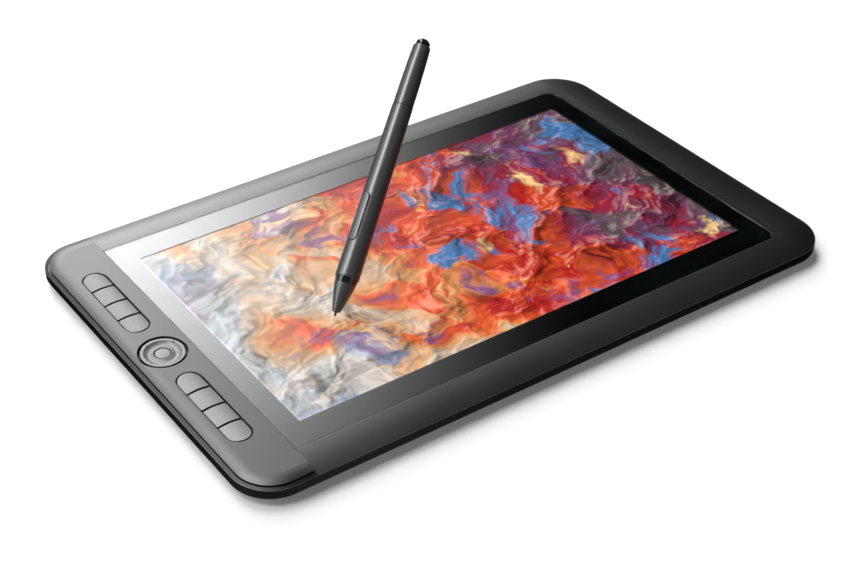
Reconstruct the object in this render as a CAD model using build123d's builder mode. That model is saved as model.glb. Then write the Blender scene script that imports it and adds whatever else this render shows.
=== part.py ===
from build123d import *
from math import atan2, cos, radians, sin, tan
import os

# Screen panel: the lit area is the size cue for everything round it
active_w = 293.76
active_d = 165.24
cell_border_x = 4.2
cell_border_y = 5.5
cell_t = 1.3

# Cover glass, flush with the frame
glass_border_left = 12.5
glass_border_right = 13.3
glass_border_y = 16.65
glass_t = 1.1
glass_corner_r = 8.0
glass_seam_corner_r = 0.6
glass_gap = 0.15
gasket_t = 0.15
gasket_w = 2.2
gasket_edge = 0.4
ledge_w = 3.0

# Body outline and heights
control_strip_w = 34.5
bezel_right_w = 25.5
bezel_y_w = 19.6
right_corner_core_r = 5.7
left_corner_core_r = 2.6
foot_rise = 1.0
cover_h = 4.0
wall_h = 4.75
rim_drop = 2.25
rim_fall_share = 0.5
soften_share = 0.9

# Front frame
wall_t = 1.8
frame_t = 2.6
rim_strip_w = 1.8

# Key panel, let into the frame
panel_t = 2.2
panel_floor_t = 1.1
panel_gap = 0.7
panel_seat = 0.1
panel_drop = 1.0
panel_fall_w = 3.6
seam_gap = 0.15
slot_bevel = 0.3

# Key slots and keys
controls_from_seam = 16.4
controls_cy = 1.5
slot_offset_y = 51.6
slot_w = 13.8
key_pitch = 15.0
keys_per_slot = 4
key_gap = 1.1
key_side_gap = 0.45
key_crown = 0.7
key_rise = 0.1
key_edge_r = 0.25
key_travel = 0.5
key_flange_w = 1.2
key_flange_t = 0.6
key_flange_gap = 0.2
key_stem_r = 1.5
key_stop_gap = 0.1
flange_room = 0.6

# Wheel and its middle button
wheel_opening_r = 12.85
wheel_r = 11.87
wheel_sink = 0.3
wheel_rim_in_r = 10.0
wheel_rim_out_r = 11.4
wheel_dish_r = 7.6
wheel_dish_depth = 1.15
wheel_ridge_r = 5.0
wheel_ridge_out_r = 5.7
wheel_ridge_depth = 0.6
wheel_bore_gap = 0.27
wheel_flange_r = 13.8
wheel_flange_t = 0.6
wheel_hub_r = 6.6
wheel_hub_run_gap = 0.05
wheel_hub_foot_gap = 0.6
wheel_dimple_r = 0.4
wheel_dimple_depth = 0.3
wheel_dimple_circle_r = 10.0
wheel_dimple_count = 4
wheel_dimple_turn = 27.5
button_r = 4.05
button_sink = 0.85
button_dome = 0.2
button_cap_h = 1.6
button_stem_r = 2.4
encoder_r = 9.0
encoder_h = 2.1

# Key board and its switches
key_board_w = 24.0
key_board_drop = 2.0
key_board_margin = 5.0
board_t = 1.0
board_corner_r = 1.5
switch_w = 4.5
switch_h = 1.1
plunger_r = 1.0
plunger_h = 0.4
boss_r = 1.8
boss_root = 0.2

# Backlight, sensing board, shield and chassis
guide_t = 2.0
guide_gap = 0.2
tray_t = 0.4
tray_wall_t = 0.8
light_bar_d = 3.0
light_bar_h = 1.8
sensing_t = 0.6
shield_t = 0.3
chassis_t = 1.0
chassis_overlap_x = 1.3
chassis_overlap_y = 4.0
chassis_ring_w = 3.0
chassis_screw_margin = 15.6
chassis_screws_per_side = 4

# Back cover
cover_t = 1.8
parting_step = 0.25
tuck_h_share = 0.85
tuck_slope_share = 2.65
tuck_soften_share = 0.6
lip_gap = 0.1
lip_t = 1.0
lip_h = 0.5
lip_root = 0.9

# Rubber feet
foot_len = 52.0
foot_w = 9.0
foot_x = 132.0
foot_y = 92.0
foot_pocket = 0.4
foot_gap = 0.1
foot_edge = 0.3

# Screws
screw_r = 0.7
screw_gap = 0.05
screw_head_r = 1.5
screw_head_h = 0.5
screw_bite = 1.6
case_screw_r = 0.85
case_head_r = 1.8
case_head_h = 0.9
case_head_sink = 0.1
case_head_gap = 0.2
case_screw_bite = 5.0
case_boss_r = 2.6
case_screw_inset_y = 13.4
case_screw_margin = 21.8
case_screws_per_side = 5

# Main board and chips
main_board_w = 150.0
main_board_d = 70.0
main_board_cx = 40.0
main_board_cy = 40.0
board_hole_inset = 4.0
standoff_r = 2.2
chip_w = 12.0
chip_h = 0.5
chip_pitch_x = 32.0
chip_pitch_y = 26.0
chip_cols = 4
chip_rows = 2

# Ports on the back wall
port_cx = 124.0
port_board_w = 60.0
port_board_d = 10.4
port_board_inset = 5.8
socket_h = 3.2
socket_depth = 7.6
socket_face_sink = 0.5
socket_wall = 0.35
socket_gap = 0.2
socket_tongue_t = 0.7
socket_tongue_gap = 1.1
usb_w = 8.9
video_w = 11.2
video_corner = 1.0
usb_offset_x = 14.0
power_offset_x = 18.0
power_w = 11.0
power_h = 2.6
power_gap = 0.15
power_sink = 0.15
power_travel = 0.4
power_flange_w = 14.0
power_flange_t = 0.8
power_flange_gap = 0.2
power_switch_w = 6.0
power_switch_d = 3.4
port_bay_margin = 2.0
port_bay_room = 0.3

# Flat cables
flex_t = 0.2
flex_w = 20.0
flex_bend_r = 1.2
flex_overlap = 7.0
port_flex_w = 10.0
port_flex_overlap = 2.0
screen_flex_x = 60.0
screen_flex_out = 3.4
flex_slot_d = 3.0
key_flex_run = 5.0

# Pen: the axis leans as it stands in use, nib on the glass
nib_x = -83.0
nib_y = -23.0
nib_glass_gap = 0.2
pen_tilt = 40.1
pen_turn = 32.6
pen_roll = -21.4

# Pen stations along the axis from the nib, and radii there
nib_r = 0.66
nib_len = 26.0
nib_travel = 0.5
nose_start = 2.4
nose_front_r = 2.1
nose_end = 17.6
nose_end_r = 5.8
nose_bulge = 0.2
nose_bore_r = 0.9
nose_bore_end = 4.8
spigot_r = 4.3
spigot_len = 3.2
band_end = 21.2
band_end_r = 6.62
barrel_mid = 70.0
barrel_mid_r = 6.2
barrel_end = 119.9
barrel_end_r = 5.65
barrel_wall = 1.5
barrel_nose_edge = 0.3
tail_gap = 0.35
tail_mid_run = 18.1
tail_mid_r = 5.3
tail_len = 35.8
tail_end_r = 4.75
tail_edge = 0.4
cap_r = 3.75
cap_len = 4.3
cap_neck_r = 3.2
cap_neck_len = 0.5
cap_shoulder = 157.9
window_post_w = 1.9
window_turn = 24.0
window_count = 4
window_sink = 0.12
ring_wall = 0.9
post_gap = 0.1

# Pen rocker switch
rocker_start = 40.8
rocker_end = 67.7
rocker_w = 4.7
rocker_gap = 0.4
rocker_proud = 0.55
rocker_foot_r = 4.5
rocker_edge_r = 0.3
rocker_dot_r = 0.55
rocker_dot_h = 0.25
rocker_dot_inset = 3.0
pin_r = 0.5
pin_gap = 0.05
pin_len = 6.2
pin_height = 5.4

# Pen insides
core_r = 1.95
core_start = 12.8
core_end = 24.0
coil_r = 3.1
coil_start = 13.6
coil_end = 21.6
holder_r = 2.5
holder_len = 5.0
holder_grip = 1.2
sensor_r = 3.6
sensor_len = 3.0
sensor_gap = 0.2
carrier_r = 4.6
carrier_wall = 1.0
carrier_start = 22.2
carrier_shelf_t = 1.2
carrier_tail_gap = 9.7
pen_board_w = 7.0
pen_board_t = 1.0
pen_board_tail_gap = 4.2
pen_board_start = 38.0
rocker_switch_w = 3.0
rocker_switch_h = 3.0

# One overrun serves every cut that passes right through
cut_over = 2.0

# Plan places worked out from the sizes above
glass_w = glass_border_left + active_w + glass_border_right
glass_d = active_d + 2 * glass_border_y
body_w = control_strip_w + glass_w + bezel_right_w
body_d = glass_d + 2 * bezel_y_w
right_corner_r = bezel_y_w + right_corner_core_r
left_corner_r = bezel_y_w + left_corner_core_r
seam_x = control_strip_w - body_w / 2
glass_cx = seam_x + glass_w / 2
active_cx = seam_x + glass_border_left + active_w / 2
controls_cx = seam_x - controls_from_seam
cell_w = active_w + 2 * cell_border_x
cell_d = active_d + 2 * cell_border_y
window_w = glass_w - 2 * ledge_w
window_d = glass_d - 2 * ledge_w
chassis_w = window_w + 2 * chassis_overlap_x
chassis_d = window_d + 2 * chassis_overlap_y
chassis_screw_pitch = (chassis_w - 2 * chassis_screw_margin) / (chassis_screws_per_side - 1)
case_screw_pitch = (body_w - 2 * case_screw_margin) / (case_screws_per_side - 1)
row_len = keys_per_slot * key_pitch
slot_len = row_len + 2 * key_side_gap
key_w = slot_w - 2 * key_side_gap

# Heights worked out from the sizes above, the rubber feet standing on zero
shell_bottom_z = foot_rise
wall_foot_z = shell_bottom_z + cover_h
rim_z = wall_foot_z + wall_h
glass_top_z = rim_z + rim_drop
frame_under_z = glass_top_z - frame_t
panel_under_z = glass_top_z - panel_t
panel_shelf_z = panel_under_z - panel_seat
panel_floor_z = panel_shelf_z - panel_floor_t
ledge_z = glass_top_z - glass_t - gasket_t
cell_top_z = glass_top_z - glass_t
cell_bottom_z = cell_top_z - cell_t
tray_top_z = cell_bottom_z - guide_t
tray_bottom_z = tray_top_z - tray_t
sensing_bottom_z = tray_bottom_z - sensing_t
shield_bottom_z = sensing_bottom_z - shield_t
chassis_bottom_z = shield_bottom_z - chassis_t
key_board_top_z = panel_floor_z - key_board_drop
switch_top_z = key_board_top_z + switch_h + plunger_h
cover_floor_z = shell_bottom_z + cover_t
port_z = wall_foot_z + wall_h / 2
port_board_top_z = port_z - socket_h / 2
port_board_z = port_board_top_z - board_t
main_board_top_z = port_board_z - flex_t
main_board_z = main_board_top_z - board_t

# The frame falls to its rim over half of the bezel
rim_fall_w = bezel_y_w * rim_fall_share

key_places = []
for slot_y in (controls_cy + slot_offset_y, controls_cy - slot_offset_y):
    for key_number in range(keys_per_slot):
        key_places.append((slot_y, key_number))

switch_places = [(controls_cx, controls_cy)]
for slot_y, key_number in key_places:
    switch_places.append((controls_cx, slot_y + row_len / 2 - (key_number + 1 / 2) * key_pitch))

os.makedirs("parts", exist_ok=True)


def body_plan(level, inset):
    """The body's rounded outline, drawn in by inset, on the level height."""
    with BuildSketch(Plane.XY.offset(level)) as outline:
        Rectangle(body_w - 2 * inset, body_d - 2 * inset)
        fillet(outline.vertices().group_by(Axis.X)[-1], right_corner_r - inset)
        fillet(outline.vertices().group_by(Axis.X)[0], left_corner_r - inset)
    return outline.sketch


def glass_plan(level, inset):
    """The glass outline, drawn in by inset: sharp at the seam, rounded at the right."""
    with BuildSketch(Plane.XY.offset(level)) as outline:
        with Locations((glass_cx, 0)):
            Rectangle(glass_w - 2 * inset, glass_d - 2 * inset)
        fillet(outline.vertices().group_by(Axis.X)[-1], glass_corner_r - inset)
        if inset < glass_seam_corner_r:
            fillet(outline.vertices().group_by(Axis.X)[0], glass_seam_corner_r - inset)
    return outline.sketch


def cell_plan(level, inset):
    """The screen cell's outline, drawn in by inset."""
    with BuildSketch(Plane.XY.offset(level)) as outline:
        with Locations((active_cx, 0)):
            Rectangle(cell_w - 2 * inset, cell_d - 2 * inset)
    return outline.sketch


def soften_radius(fall_w, drop):
    """Radius of the fillet that takes up most of a slope beside the flat it falls from."""
    return soften_share * fall_w / tan(atan2(drop, fall_w) / 2)


def crown_form(top, inset, fall_w, drop, softened):
    """Solid from the wall's foot up to top, its upper edge sloping down by drop."""
    with BuildPart() as form:
        add(body_plan(wall_foot_z, inset))
        extrude(amount=top - wall_foot_z)
        upper = form.faces().sort_by(Axis.Z)[-1]
        chamfer(upper.edges(), length=fall_w, length2=drop, reference=upper)
        if softened:
            fillet(form.faces().sort_by(Axis.Z)[-1].edges(), soften_radius(fall_w, drop))
    return form.part


def tuck_form(bottom, inset):
    """Solid from the wall's foot down to bottom, its lower edge tucked in."""
    tuck_h = (wall_foot_z - bottom) * tuck_h_share
    tuck_w = tuck_h * tuck_slope_share
    with BuildPart() as form:
        add(body_plan(bottom, inset))
        extrude(amount=wall_foot_z - bottom)
        lower = form.faces().sort_by(Axis.Z)[0]
        chamfer(lower.edges(), length=tuck_w, length2=tuck_h, reference=lower)
        lower = form.faces().sort_by(Axis.Z)[0]
        fillet(lower.edges(), tuck_soften_share * soften_radius(tuck_w, tuck_h))
    return form.part


def save(part, name):
    """Label a finished piece and write it."""
    part.label = name
    export_step(part, f"parts/{name}.step")


# Room in the frame for the key panel: the strip left of the seam, inside the rim
with BuildPart() as panel_pocket:
    with BuildSketch(Plane.XY.offset(panel_shelf_z)):
        add(body_plan(panel_shelf_z, rim_strip_w))
        with Locations((seam_x, 0)):
            Rectangle(body_w, body_d, align=(Align.MIN, Align.CENTER), mode=Mode.SUBTRACT)
    extrude(amount=panel_t + cut_over)

# Where the case screws stand, in plan
case_screw_y = body_d / 2 - case_screw_inset_y
case_screw_spots = GridLocations(case_screw_pitch, 2 * case_screw_y, case_screws_per_side, 2)

# Where the key board's screws stand: past the outer ends of the two slots, and between
# each slot and the wheel
board_boss_far = slot_offset_y + slot_len / 2 + flange_room + key_flange_w + key_board_margin
board_boss_near = (slot_offset_y - slot_len / 2 - key_flange_w + wheel_flange_r) / 2
key_board_len = 2 * (board_boss_far + key_board_margin)
board_boss_spots = []
for boss_y in (board_boss_far, board_boss_near, -board_boss_near, -board_boss_far):
    board_boss_spots.append((controls_cx, controls_cy + boss_y))

# Where the chassis screws stand, along the chassis's front and back rings
chassis_screw_y = chassis_d - chassis_ring_w
usb_x = port_cx + usb_offset_x - port_board_w / 2
video_x = port_cx
power_x = port_cx + power_offset_x

# Front frame
with BuildPart() as front_frame:
    add(crown_form(glass_top_z, 0, rim_fall_w, rim_drop, True))
    add(crown_form(frame_under_z, wall_t, rim_fall_w, rim_drop, False), mode=Mode.SUBTRACT)
    # Floor under the key panel, lapped under the glass ledge, then the room above it
    with BuildSketch(Plane.XY.offset(panel_floor_z)):
        add(body_plan(panel_floor_z, wall_t))
        with Locations((seam_x + ledge_w / 2, 0)):
            Rectangle(body_w, body_d, align=(Align.MIN, Align.CENTER), mode=Mode.SUBTRACT)
    extrude(amount=panel_floor_t)
    add(panel_pocket.part, mode=Mode.SUBTRACT)
    # Rebate that carries the glass, and the window behind it
    add(glass_plan(ledge_z, -glass_gap))
    extrude(amount=glass_t + gasket_t + cut_over, mode=Mode.SUBTRACT)
    with BuildSketch(Plane.XY.offset(frame_under_z - cut_over)):
        with Locations((glass_cx, 0)):
            Rectangle(window_w, window_d)
    extrude(amount=frame_t + 2 * cut_over, mode=Mode.SUBTRACT)
    # Openings in the shelf for the key flanges and the wheel
    with BuildSketch(Plane.XY.offset(key_board_top_z)):
        with Locations(
            (controls_cx, controls_cy + slot_offset_y), (controls_cx, controls_cy - slot_offset_y)
        ):
            SlotOverall(
                slot_len + 2 * (key_flange_w + flange_room),
                slot_w + 2 * (key_flange_w + flange_room),
                rotation=90,
            )
        with Locations((controls_cx, controls_cy)):
            Circle(wheel_flange_r + flange_room)
    extrude(amount=panel_under_z - key_board_top_z, mode=Mode.SUBTRACT)
    # Bosses for the case screws and for the key board
    with BuildSketch(Plane.XY.offset(cover_floor_z)):
        with case_screw_spots:
            Circle(case_boss_r)
    extrude(amount=frame_under_z - cover_floor_z + boss_root)
    with BuildSketch(Plane.XY.offset(key_board_top_z)):
        with Locations(board_boss_spots):
            Circle(boss_r)
    extrude(amount=key_board_drop + boss_root)
    with BuildSketch(Plane.XY.offset(cover_floor_z)):
        with case_screw_spots:
            Circle(case_screw_r + screw_gap)
    extrude(amount=case_screw_bite, mode=Mode.SUBTRACT)
    with BuildSketch(Plane.XY.offset(key_board_top_z)):
        with Locations(board_boss_spots):
            Circle(screw_r + screw_gap)
    extrude(amount=screw_bite, mode=Mode.SUBTRACT)
    with BuildSketch(Plane.XY.offset(frame_under_z)):
        with Locations((glass_cx, 0)):
            with GridLocations(chassis_screw_pitch, chassis_screw_y, chassis_screws_per_side, 2):
                Circle(screw_r + screw_gap)
    extrude(amount=ledge_z - frame_under_z - gasket_t, mode=Mode.SUBTRACT)
    # Room behind the wall for the ports, then the openings through the wall
    with BuildSketch(Plane.XY.offset(wall_foot_z)):
        with Locations((port_cx, body_d / 2 - wall_t)):
            Rectangle(
                port_board_w + 2 * port_bay_margin,
                port_board_inset + port_board_d - wall_t,
                align=(Align.CENTER, Align.MAX),
            )
    extrude(amount=port_board_top_z + socket_h + port_bay_room - wall_foot_z, mode=Mode.SUBTRACT)
    with BuildSketch(Plane.XZ.offset(-body_d / 2 - cut_over)):
        with Locations((usb_x, port_z)):
            SlotOverall(usb_w + 2 * socket_gap, socket_h + 2 * socket_gap)
        with Locations((video_x, port_z)):
            Rectangle(video_w + 2 * socket_gap, socket_h + 2 * socket_gap)
        with Locations((power_x, port_z)):
            SlotOverall(power_w + 2 * power_gap, power_h + 2 * power_gap)
    extrude(amount=wall_t + 2 * cut_over, mode=Mode.SUBTRACT)
save(front_frame.part, "front_frame")

# Key panel: flatter than the frame round it, so its edge stands a little proud
with BuildPart() as key_panel:
    add(crown_form(glass_top_z, rim_strip_w + panel_gap, panel_fall_w, panel_drop, True))
    with BuildSketch(Plane.XY.offset(panel_under_z)):
        Rectangle(body_w, body_d)
        with Locations((seam_x - seam_gap, 0)):
            Rectangle(body_w, body_d, align=(Align.MIN, Align.CENTER), mode=Mode.SUBTRACT)
    extrude(amount=panel_t + cut_over, mode=Mode.INTERSECT)
    with BuildSketch(Plane.XY.offset(panel_under_z)):
        with Locations(
            (controls_cx, controls_cy + slot_offset_y), (controls_cx, controls_cy - slot_offset_y)
        ):
            SlotOverall(slot_len, slot_w, rotation=90)
        with Locations((controls_cx, controls_cy)):
            Circle(wheel_opening_r)
    extrude(amount=panel_t + cut_over, mode=Mode.SUBTRACT)
    mouth_edges = key_panel.edges(Select.LAST).filter_by(
        lambda edge: edge.center().Z > panel_under_z + panel_t / 2
    )
    chamfer(mouth_edges, slot_bevel)
save(key_panel.part, "key_panel")

# Cover glass and the gasket that holds it down
with BuildPart() as cover_glass:
    add(glass_plan(cell_top_z, 0))
    extrude(amount=glass_t)
save(cover_glass.part, "cover_glass")

with BuildPart() as glass_gasket:
    with BuildSketch(Plane.XY.offset(ledge_z)):
        add(glass_plan(ledge_z, gasket_edge))
        add(glass_plan(ledge_z, gasket_edge + gasket_w), mode=Mode.SUBTRACT)
    extrude(amount=gasket_t)
save(glass_gasket.part, "glass_gasket")

# Screen cell, light guide, light bar and the tray that holds them
with BuildPart() as screen_cell:
    add(cell_plan(cell_bottom_z, 0))
    extrude(amount=cell_t)
save(screen_cell.part, "screen_cell")

with BuildPart() as backlight_tray:
    add(cell_plan(tray_bottom_z, 0))
    extrude(amount=tray_t + guide_t)
    add(cell_plan(tray_top_z, tray_wall_t))
    extrude(amount=guide_t, mode=Mode.SUBTRACT)
save(backlight_tray.part, "backlight_tray")

tray_room_w = cell_w - 2 * (tray_wall_t + guide_gap)
tray_room_d = cell_d - 2 * (tray_wall_t + guide_gap)
guide_front_y = light_bar_d + guide_gap - tray_room_d / 2
with BuildPart() as light_guide:
    with BuildSketch(Plane.XY.offset(tray_top_z)):
        with Locations((active_cx, guide_front_y)):
            Rectangle(tray_room_w, tray_room_d / 2 - guide_front_y, align=(Align.CENTER, Align.MIN))
    extrude(amount=guide_t)
save(light_guide.part, "light_guide")

with BuildPart() as light_bar:
    with BuildSketch(Plane.XY.offset(tray_top_z)):
        with Locations((active_cx, -tray_room_d / 2)):
            Rectangle(tray_room_w, light_bar_d, align=(Align.CENTER, Align.MIN))
    extrude(amount=light_bar_h)
save(light_bar.part, "light_bar")

# Pen-sensing board and its shield, under the tray
with BuildPart() as sensing_board:
    add(cell_plan(sensing_bottom_z, 0))
    extrude(amount=sensing_t)
save(sensing_board.part, "sensing_board")

with BuildPart() as shield_plate:
    add(cell_plan(shield_bottom_z, 0))
    extrude(amount=shield_t)
save(shield_plate.part, "shield_plate")

# Chassis: a shallow pan that clamps the screen stack up against the frame
flex_slot_y = cell_d / 2 + screen_flex_out
with BuildPart() as screen_chassis:
    with BuildSketch(Plane.XY.offset(chassis_bottom_z)):
        with Locations((glass_cx, 0)):
            RectangleRounded(chassis_w, chassis_d, chassis_ring_w)
    extrude(amount=frame_under_z - chassis_bottom_z)
    with BuildSketch(Plane.XY.offset(shield_bottom_z)):
        with Locations((glass_cx, 0)):
            Rectangle(chassis_w - 2 * chassis_ring_w, chassis_d - 2 * chassis_ring_w)
    extrude(amount=frame_under_z - shield_bottom_z, mode=Mode.SUBTRACT)
    with BuildSketch(Plane.XY.offset(chassis_bottom_z)):
        with Locations((screen_flex_x, flex_slot_y)):
            Rectangle(flex_w + flex_slot_d, flex_slot_d)
    extrude(amount=chassis_t, mode=Mode.SUBTRACT)
    with BuildSketch(Plane.XY.offset(chassis_bottom_z)):
        with Locations((glass_cx, 0)):
            with GridLocations(chassis_screw_pitch, chassis_screw_y, chassis_screws_per_side, 2):
                Circle(screw_r + screw_gap)
    extrude(amount=frame_under_z - chassis_bottom_z, mode=Mode.SUBTRACT)
save(screen_chassis.part, "screen_chassis")

with BuildPart() as chassis_screws:
    with BuildSketch(Plane.XY.offset(chassis_bottom_z - screw_head_h)):
        with Locations((glass_cx, 0)):
            with GridLocations(chassis_screw_pitch, chassis_screw_y, chassis_screws_per_side, 2):
                Circle(screw_head_r)
    extrude(amount=screw_head_h)
    with BuildSketch(Plane.XY.offset(chassis_bottom_z)):
        with Locations((glass_cx, 0)):
            with GridLocations(chassis_screw_pitch, chassis_screw_y, chassis_screws_per_side, 2):
                Circle(screw_r)
    extrude(amount=ledge_z - 2 * gasket_t - chassis_bottom_z)
save(chassis_screws.part, "chassis_screws")

# Back cover: a tray with a tucked-in edge, a lip inside the frame's wall, standoffs
board_spot_x = main_board_w / 2 - board_hole_inset
board_spot_y = main_board_d / 2 - board_hole_inset
main_screw_spots = []
for side_x in (-board_spot_x, board_spot_x):
    for side_y in (-board_spot_y, board_spot_y):
        main_screw_spots.append((main_board_cx + side_x, main_board_cy + side_y))
port_board_cy = body_d / 2 - port_board_inset - port_board_d / 2
port_screw_x = port_board_w / 2 - board_hole_inset
port_screw_spots = [(port_cx - port_screw_x, port_board_cy), (port_cx + port_screw_x, port_board_cy)]
foot_spots = GridLocations(2 * foot_x, 2 * foot_y, 2, 2)

with BuildPart() as back_cover:
    add(tuck_form(shell_bottom_z, parting_step))
    add(tuck_form(cover_floor_z, parting_step + wall_t), mode=Mode.SUBTRACT)
    with BuildSketch(Plane.XY.offset(wall_foot_z - lip_root)):
        add(body_plan(wall_foot_z - lip_root, wall_t + lip_gap))
        add(body_plan(wall_foot_z - lip_root, wall_t + lip_gap + lip_t), mode=Mode.SUBTRACT)
    extrude(amount=lip_root + lip_h)
    with BuildSketch(Plane.XY.offset(cover_floor_z)):
        with Locations(main_screw_spots):
            Circle(standoff_r)
    extrude(amount=main_board_z - cover_floor_z)
    with BuildSketch(Plane.XY.offset(cover_floor_z)):
        with Locations(port_screw_spots):
            Circle(standoff_r)
    extrude(amount=port_board_z - cover_floor_z)
    with BuildSketch(Plane.XY.offset(main_board_z)):
        with Locations(main_screw_spots):
            Circle(screw_r + screw_gap)
    extrude(amount=-screw_bite, mode=Mode.SUBTRACT)
    with BuildSketch(Plane.XY.offset(port_board_z)):
        with Locations(port_screw_spots):
            Circle(screw_r + screw_gap)
    extrude(amount=-screw_bite, mode=Mode.SUBTRACT)
    with BuildSketch(Plane.XY.offset(shell_bottom_z)):
        with case_screw_spots:
            Circle(case_head_r + case_head_gap)
    extrude(amount=case_head_h + case_head_sink, mode=Mode.SUBTRACT)
    with BuildSketch(Plane.XY.offset(shell_bottom_z)):
        with case_screw_spots:
            Circle(case_screw_r + screw_gap)
    extrude(amount=cover_t, mode=Mode.SUBTRACT)
    with BuildSketch(Plane.XY.offset(shell_bottom_z)):
        with foot_spots:
            SlotOverall(foot_len + 2 * foot_gap, foot_w + 2 * foot_gap)
    extrude(amount=foot_pocket, mode=Mode.SUBTRACT)
save(back_cover.part, "back_cover")

with BuildPart() as rubber_feet:
    with BuildSketch():
        with foot_spots:
            SlotOverall(foot_len, foot_w)
    extrude(amount=foot_rise + foot_pocket)
    chamfer(rubber_feet.edges().group_by(Axis.Z)[0], foot_edge)
save(rubber_feet.part, "rubber_feet")

with BuildPart() as case_screws:
    with BuildSketch(Plane.XY.offset(shell_bottom_z + case_head_sink)):
        with case_screw_spots:
            Circle(case_head_r)
    extrude(amount=case_head_h)
    with BuildSketch(Plane.XY.offset(shell_bottom_z + case_head_sink + case_head_h)):
        with case_screw_spots:
            Circle(case_screw_r)
    extrude(amount=cover_t - case_head_sink - case_head_h + case_screw_bite - case_head_sink)
save(case_screws.part, "case_screws")

# Main board, its chips and the screws of both boards on the cover
with BuildPart() as main_board:
    with BuildSketch(Plane.XY.offset(main_board_z)):
        with Locations((main_board_cx, main_board_cy)):
            RectangleRounded(main_board_w, main_board_d, board_corner_r)
        with Locations(main_screw_spots):
            Circle(screw_r + screw_gap, mode=Mode.SUBTRACT)
    extrude(amount=board_t)
save(main_board.part, "main_board")

with BuildPart() as main_chips:
    with BuildSketch(Plane.XY.offset(main_board_top_z)):
        with Locations((main_board_cx, main_board_cy - board_hole_inset)):
            with GridLocations(chip_pitch_x, chip_pitch_y, chip_cols, chip_rows):
                Rectangle(chip_w, chip_w)
    extrude(amount=chip_h)
save(main_chips.part, "main_chips")

with BuildPart() as board_screws:
    for level, spots in ((main_board_top_z, main_screw_spots), (port_board_top_z, port_screw_spots)):
        with BuildSketch(Plane.XY.offset(level)):
            with Locations(spots):
                Circle(screw_head_r)
        extrude(amount=screw_head_h)
        with BuildSketch(Plane.XY.offset(level)):
            with Locations(spots):
                Circle(screw_r)
        extrude(amount=screw_gap - board_t - screw_bite)
save(board_screws.part, "board_screws")

# Port board, the two sockets, the power button and its switch
with BuildPart() as port_board:
    with BuildSketch(Plane.XY.offset(port_board_z)):
        with Locations((port_cx, port_board_cy)):
            RectangleRounded(port_board_w, port_board_d, board_corner_r)
        with Locations(port_screw_spots):
            Circle(screw_r + screw_gap, mode=Mode.SUBTRACT)
    extrude(amount=board_t)
save(port_board.part, "port_board")

port_face = Plane.XZ.offset(socket_face_sink - body_d / 2)
with BuildPart() as usb_socket:
    with BuildSketch(port_face):
        with Locations((usb_x, port_z)):
            SlotOverall(usb_w, socket_h)
    extrude(amount=socket_depth)
    with BuildSketch(port_face):
        with Locations((usb_x, port_z)):
            SlotOverall(usb_w - 2 * socket_wall, socket_h - 2 * socket_wall)
            Rectangle(usb_w - socket_h, socket_tongue_t, mode=Mode.SUBTRACT)
    extrude(amount=socket_depth - socket_wall, mode=Mode.SUBTRACT)
    with BuildSketch(port_face):
        with Locations((usb_x, port_z)):
            Rectangle(usb_w - socket_h, socket_tongue_t)
    extrude(amount=socket_tongue_gap, mode=Mode.SUBTRACT)
save(usb_socket.part, "usb_socket")

with BuildPart() as video_socket:
    with BuildSketch(port_face) as video_mouth:
        with Locations((video_x, port_z)):
            Rectangle(video_w, socket_h)
        chamfer(video_mouth.vertices().group_by(Axis.Z)[0], video_corner)
    extrude(amount=socket_depth)
    with BuildSketch(port_face):
        add(video_mouth.sketch)
        offset(amount=-socket_wall)
        with Locations((video_x, port_z)):
            Rectangle(video_w - socket_h, socket_tongue_t, mode=Mode.SUBTRACT)
    extrude(amount=socket_depth - socket_wall, mode=Mode.SUBTRACT)
    with BuildSketch(port_face):
        with Locations((video_x, port_z)):
            Rectangle(video_w - socket_h, socket_tongue_t)
    extrude(amount=socket_tongue_gap, mode=Mode.SUBTRACT)
save(video_socket.part, "video_socket")

power_flange_y = body_d / 2 - wall_t - power_flange_gap
with BuildPart() as power_button:
    with BuildSketch(Plane.XZ.offset(power_sink - body_d / 2)):
        with Locations((power_x, port_z)):
            SlotOverall(power_w, power_h)
    extrude(amount=body_d / 2 - power_sink - power_flange_y)
    fillet(power_button.faces().sort_by(Axis.Y)[-1].edges(), key_edge_r)
    with BuildSketch(Plane.XZ.offset(-power_flange_y)):
        with Locations((power_x, port_z)):
            SlotOverall(power_flange_w, power_h)
    extrude(amount=power_flange_t)
save(power_button.part, "power_button")

switch_face_y = body_d / 2 - port_board_inset
plunger_tip_y = power_flange_y - power_flange_t - power_travel - key_stop_gap
with BuildPart() as power_switch:
    with BuildSketch(Plane.XY.offset(port_board_top_z)):
        with Locations((power_x, switch_face_y)):
            Rectangle(power_switch_w, power_switch_d, align=(Align.CENTER, Align.MAX))
    extrude(amount=power_h)
    with BuildSketch(Plane.XZ.offset(-switch_face_y)):
        with Locations((power_x, port_z)):
            Circle(plunger_r)
    extrude(amount=switch_face_y - plunger_tip_y)
save(power_switch.part, "power_switch")

# Key board under the control strip, its screws, switches and the wheel's encoder
with BuildPart() as key_board:
    with BuildSketch(Plane.XY.offset(key_board_top_z)):
        with Locations((controls_cx, controls_cy)):
            RectangleRounded(key_board_w, key_board_len, board_corner_r)
        with Locations(board_boss_spots):
            Circle(screw_r + screw_gap, mode=Mode.SUBTRACT)
    extrude(amount=-board_t)
save(key_board.part, "key_board")

with BuildPart() as key_board_screws:
    with BuildSketch(Plane.XY.offset(key_board_top_z - board_t)):
        with Locations(board_boss_spots):
            Circle(screw_head_r)
    extrude(amount=-screw_head_h)
    with BuildSketch(Plane.XY.offset(key_board_top_z - board_t)):
        with Locations(board_boss_spots):
            Circle(screw_r)
    extrude(amount=board_t + screw_bite - screw_gap)
save(key_board_screws.part, "key_board_screws")

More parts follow.
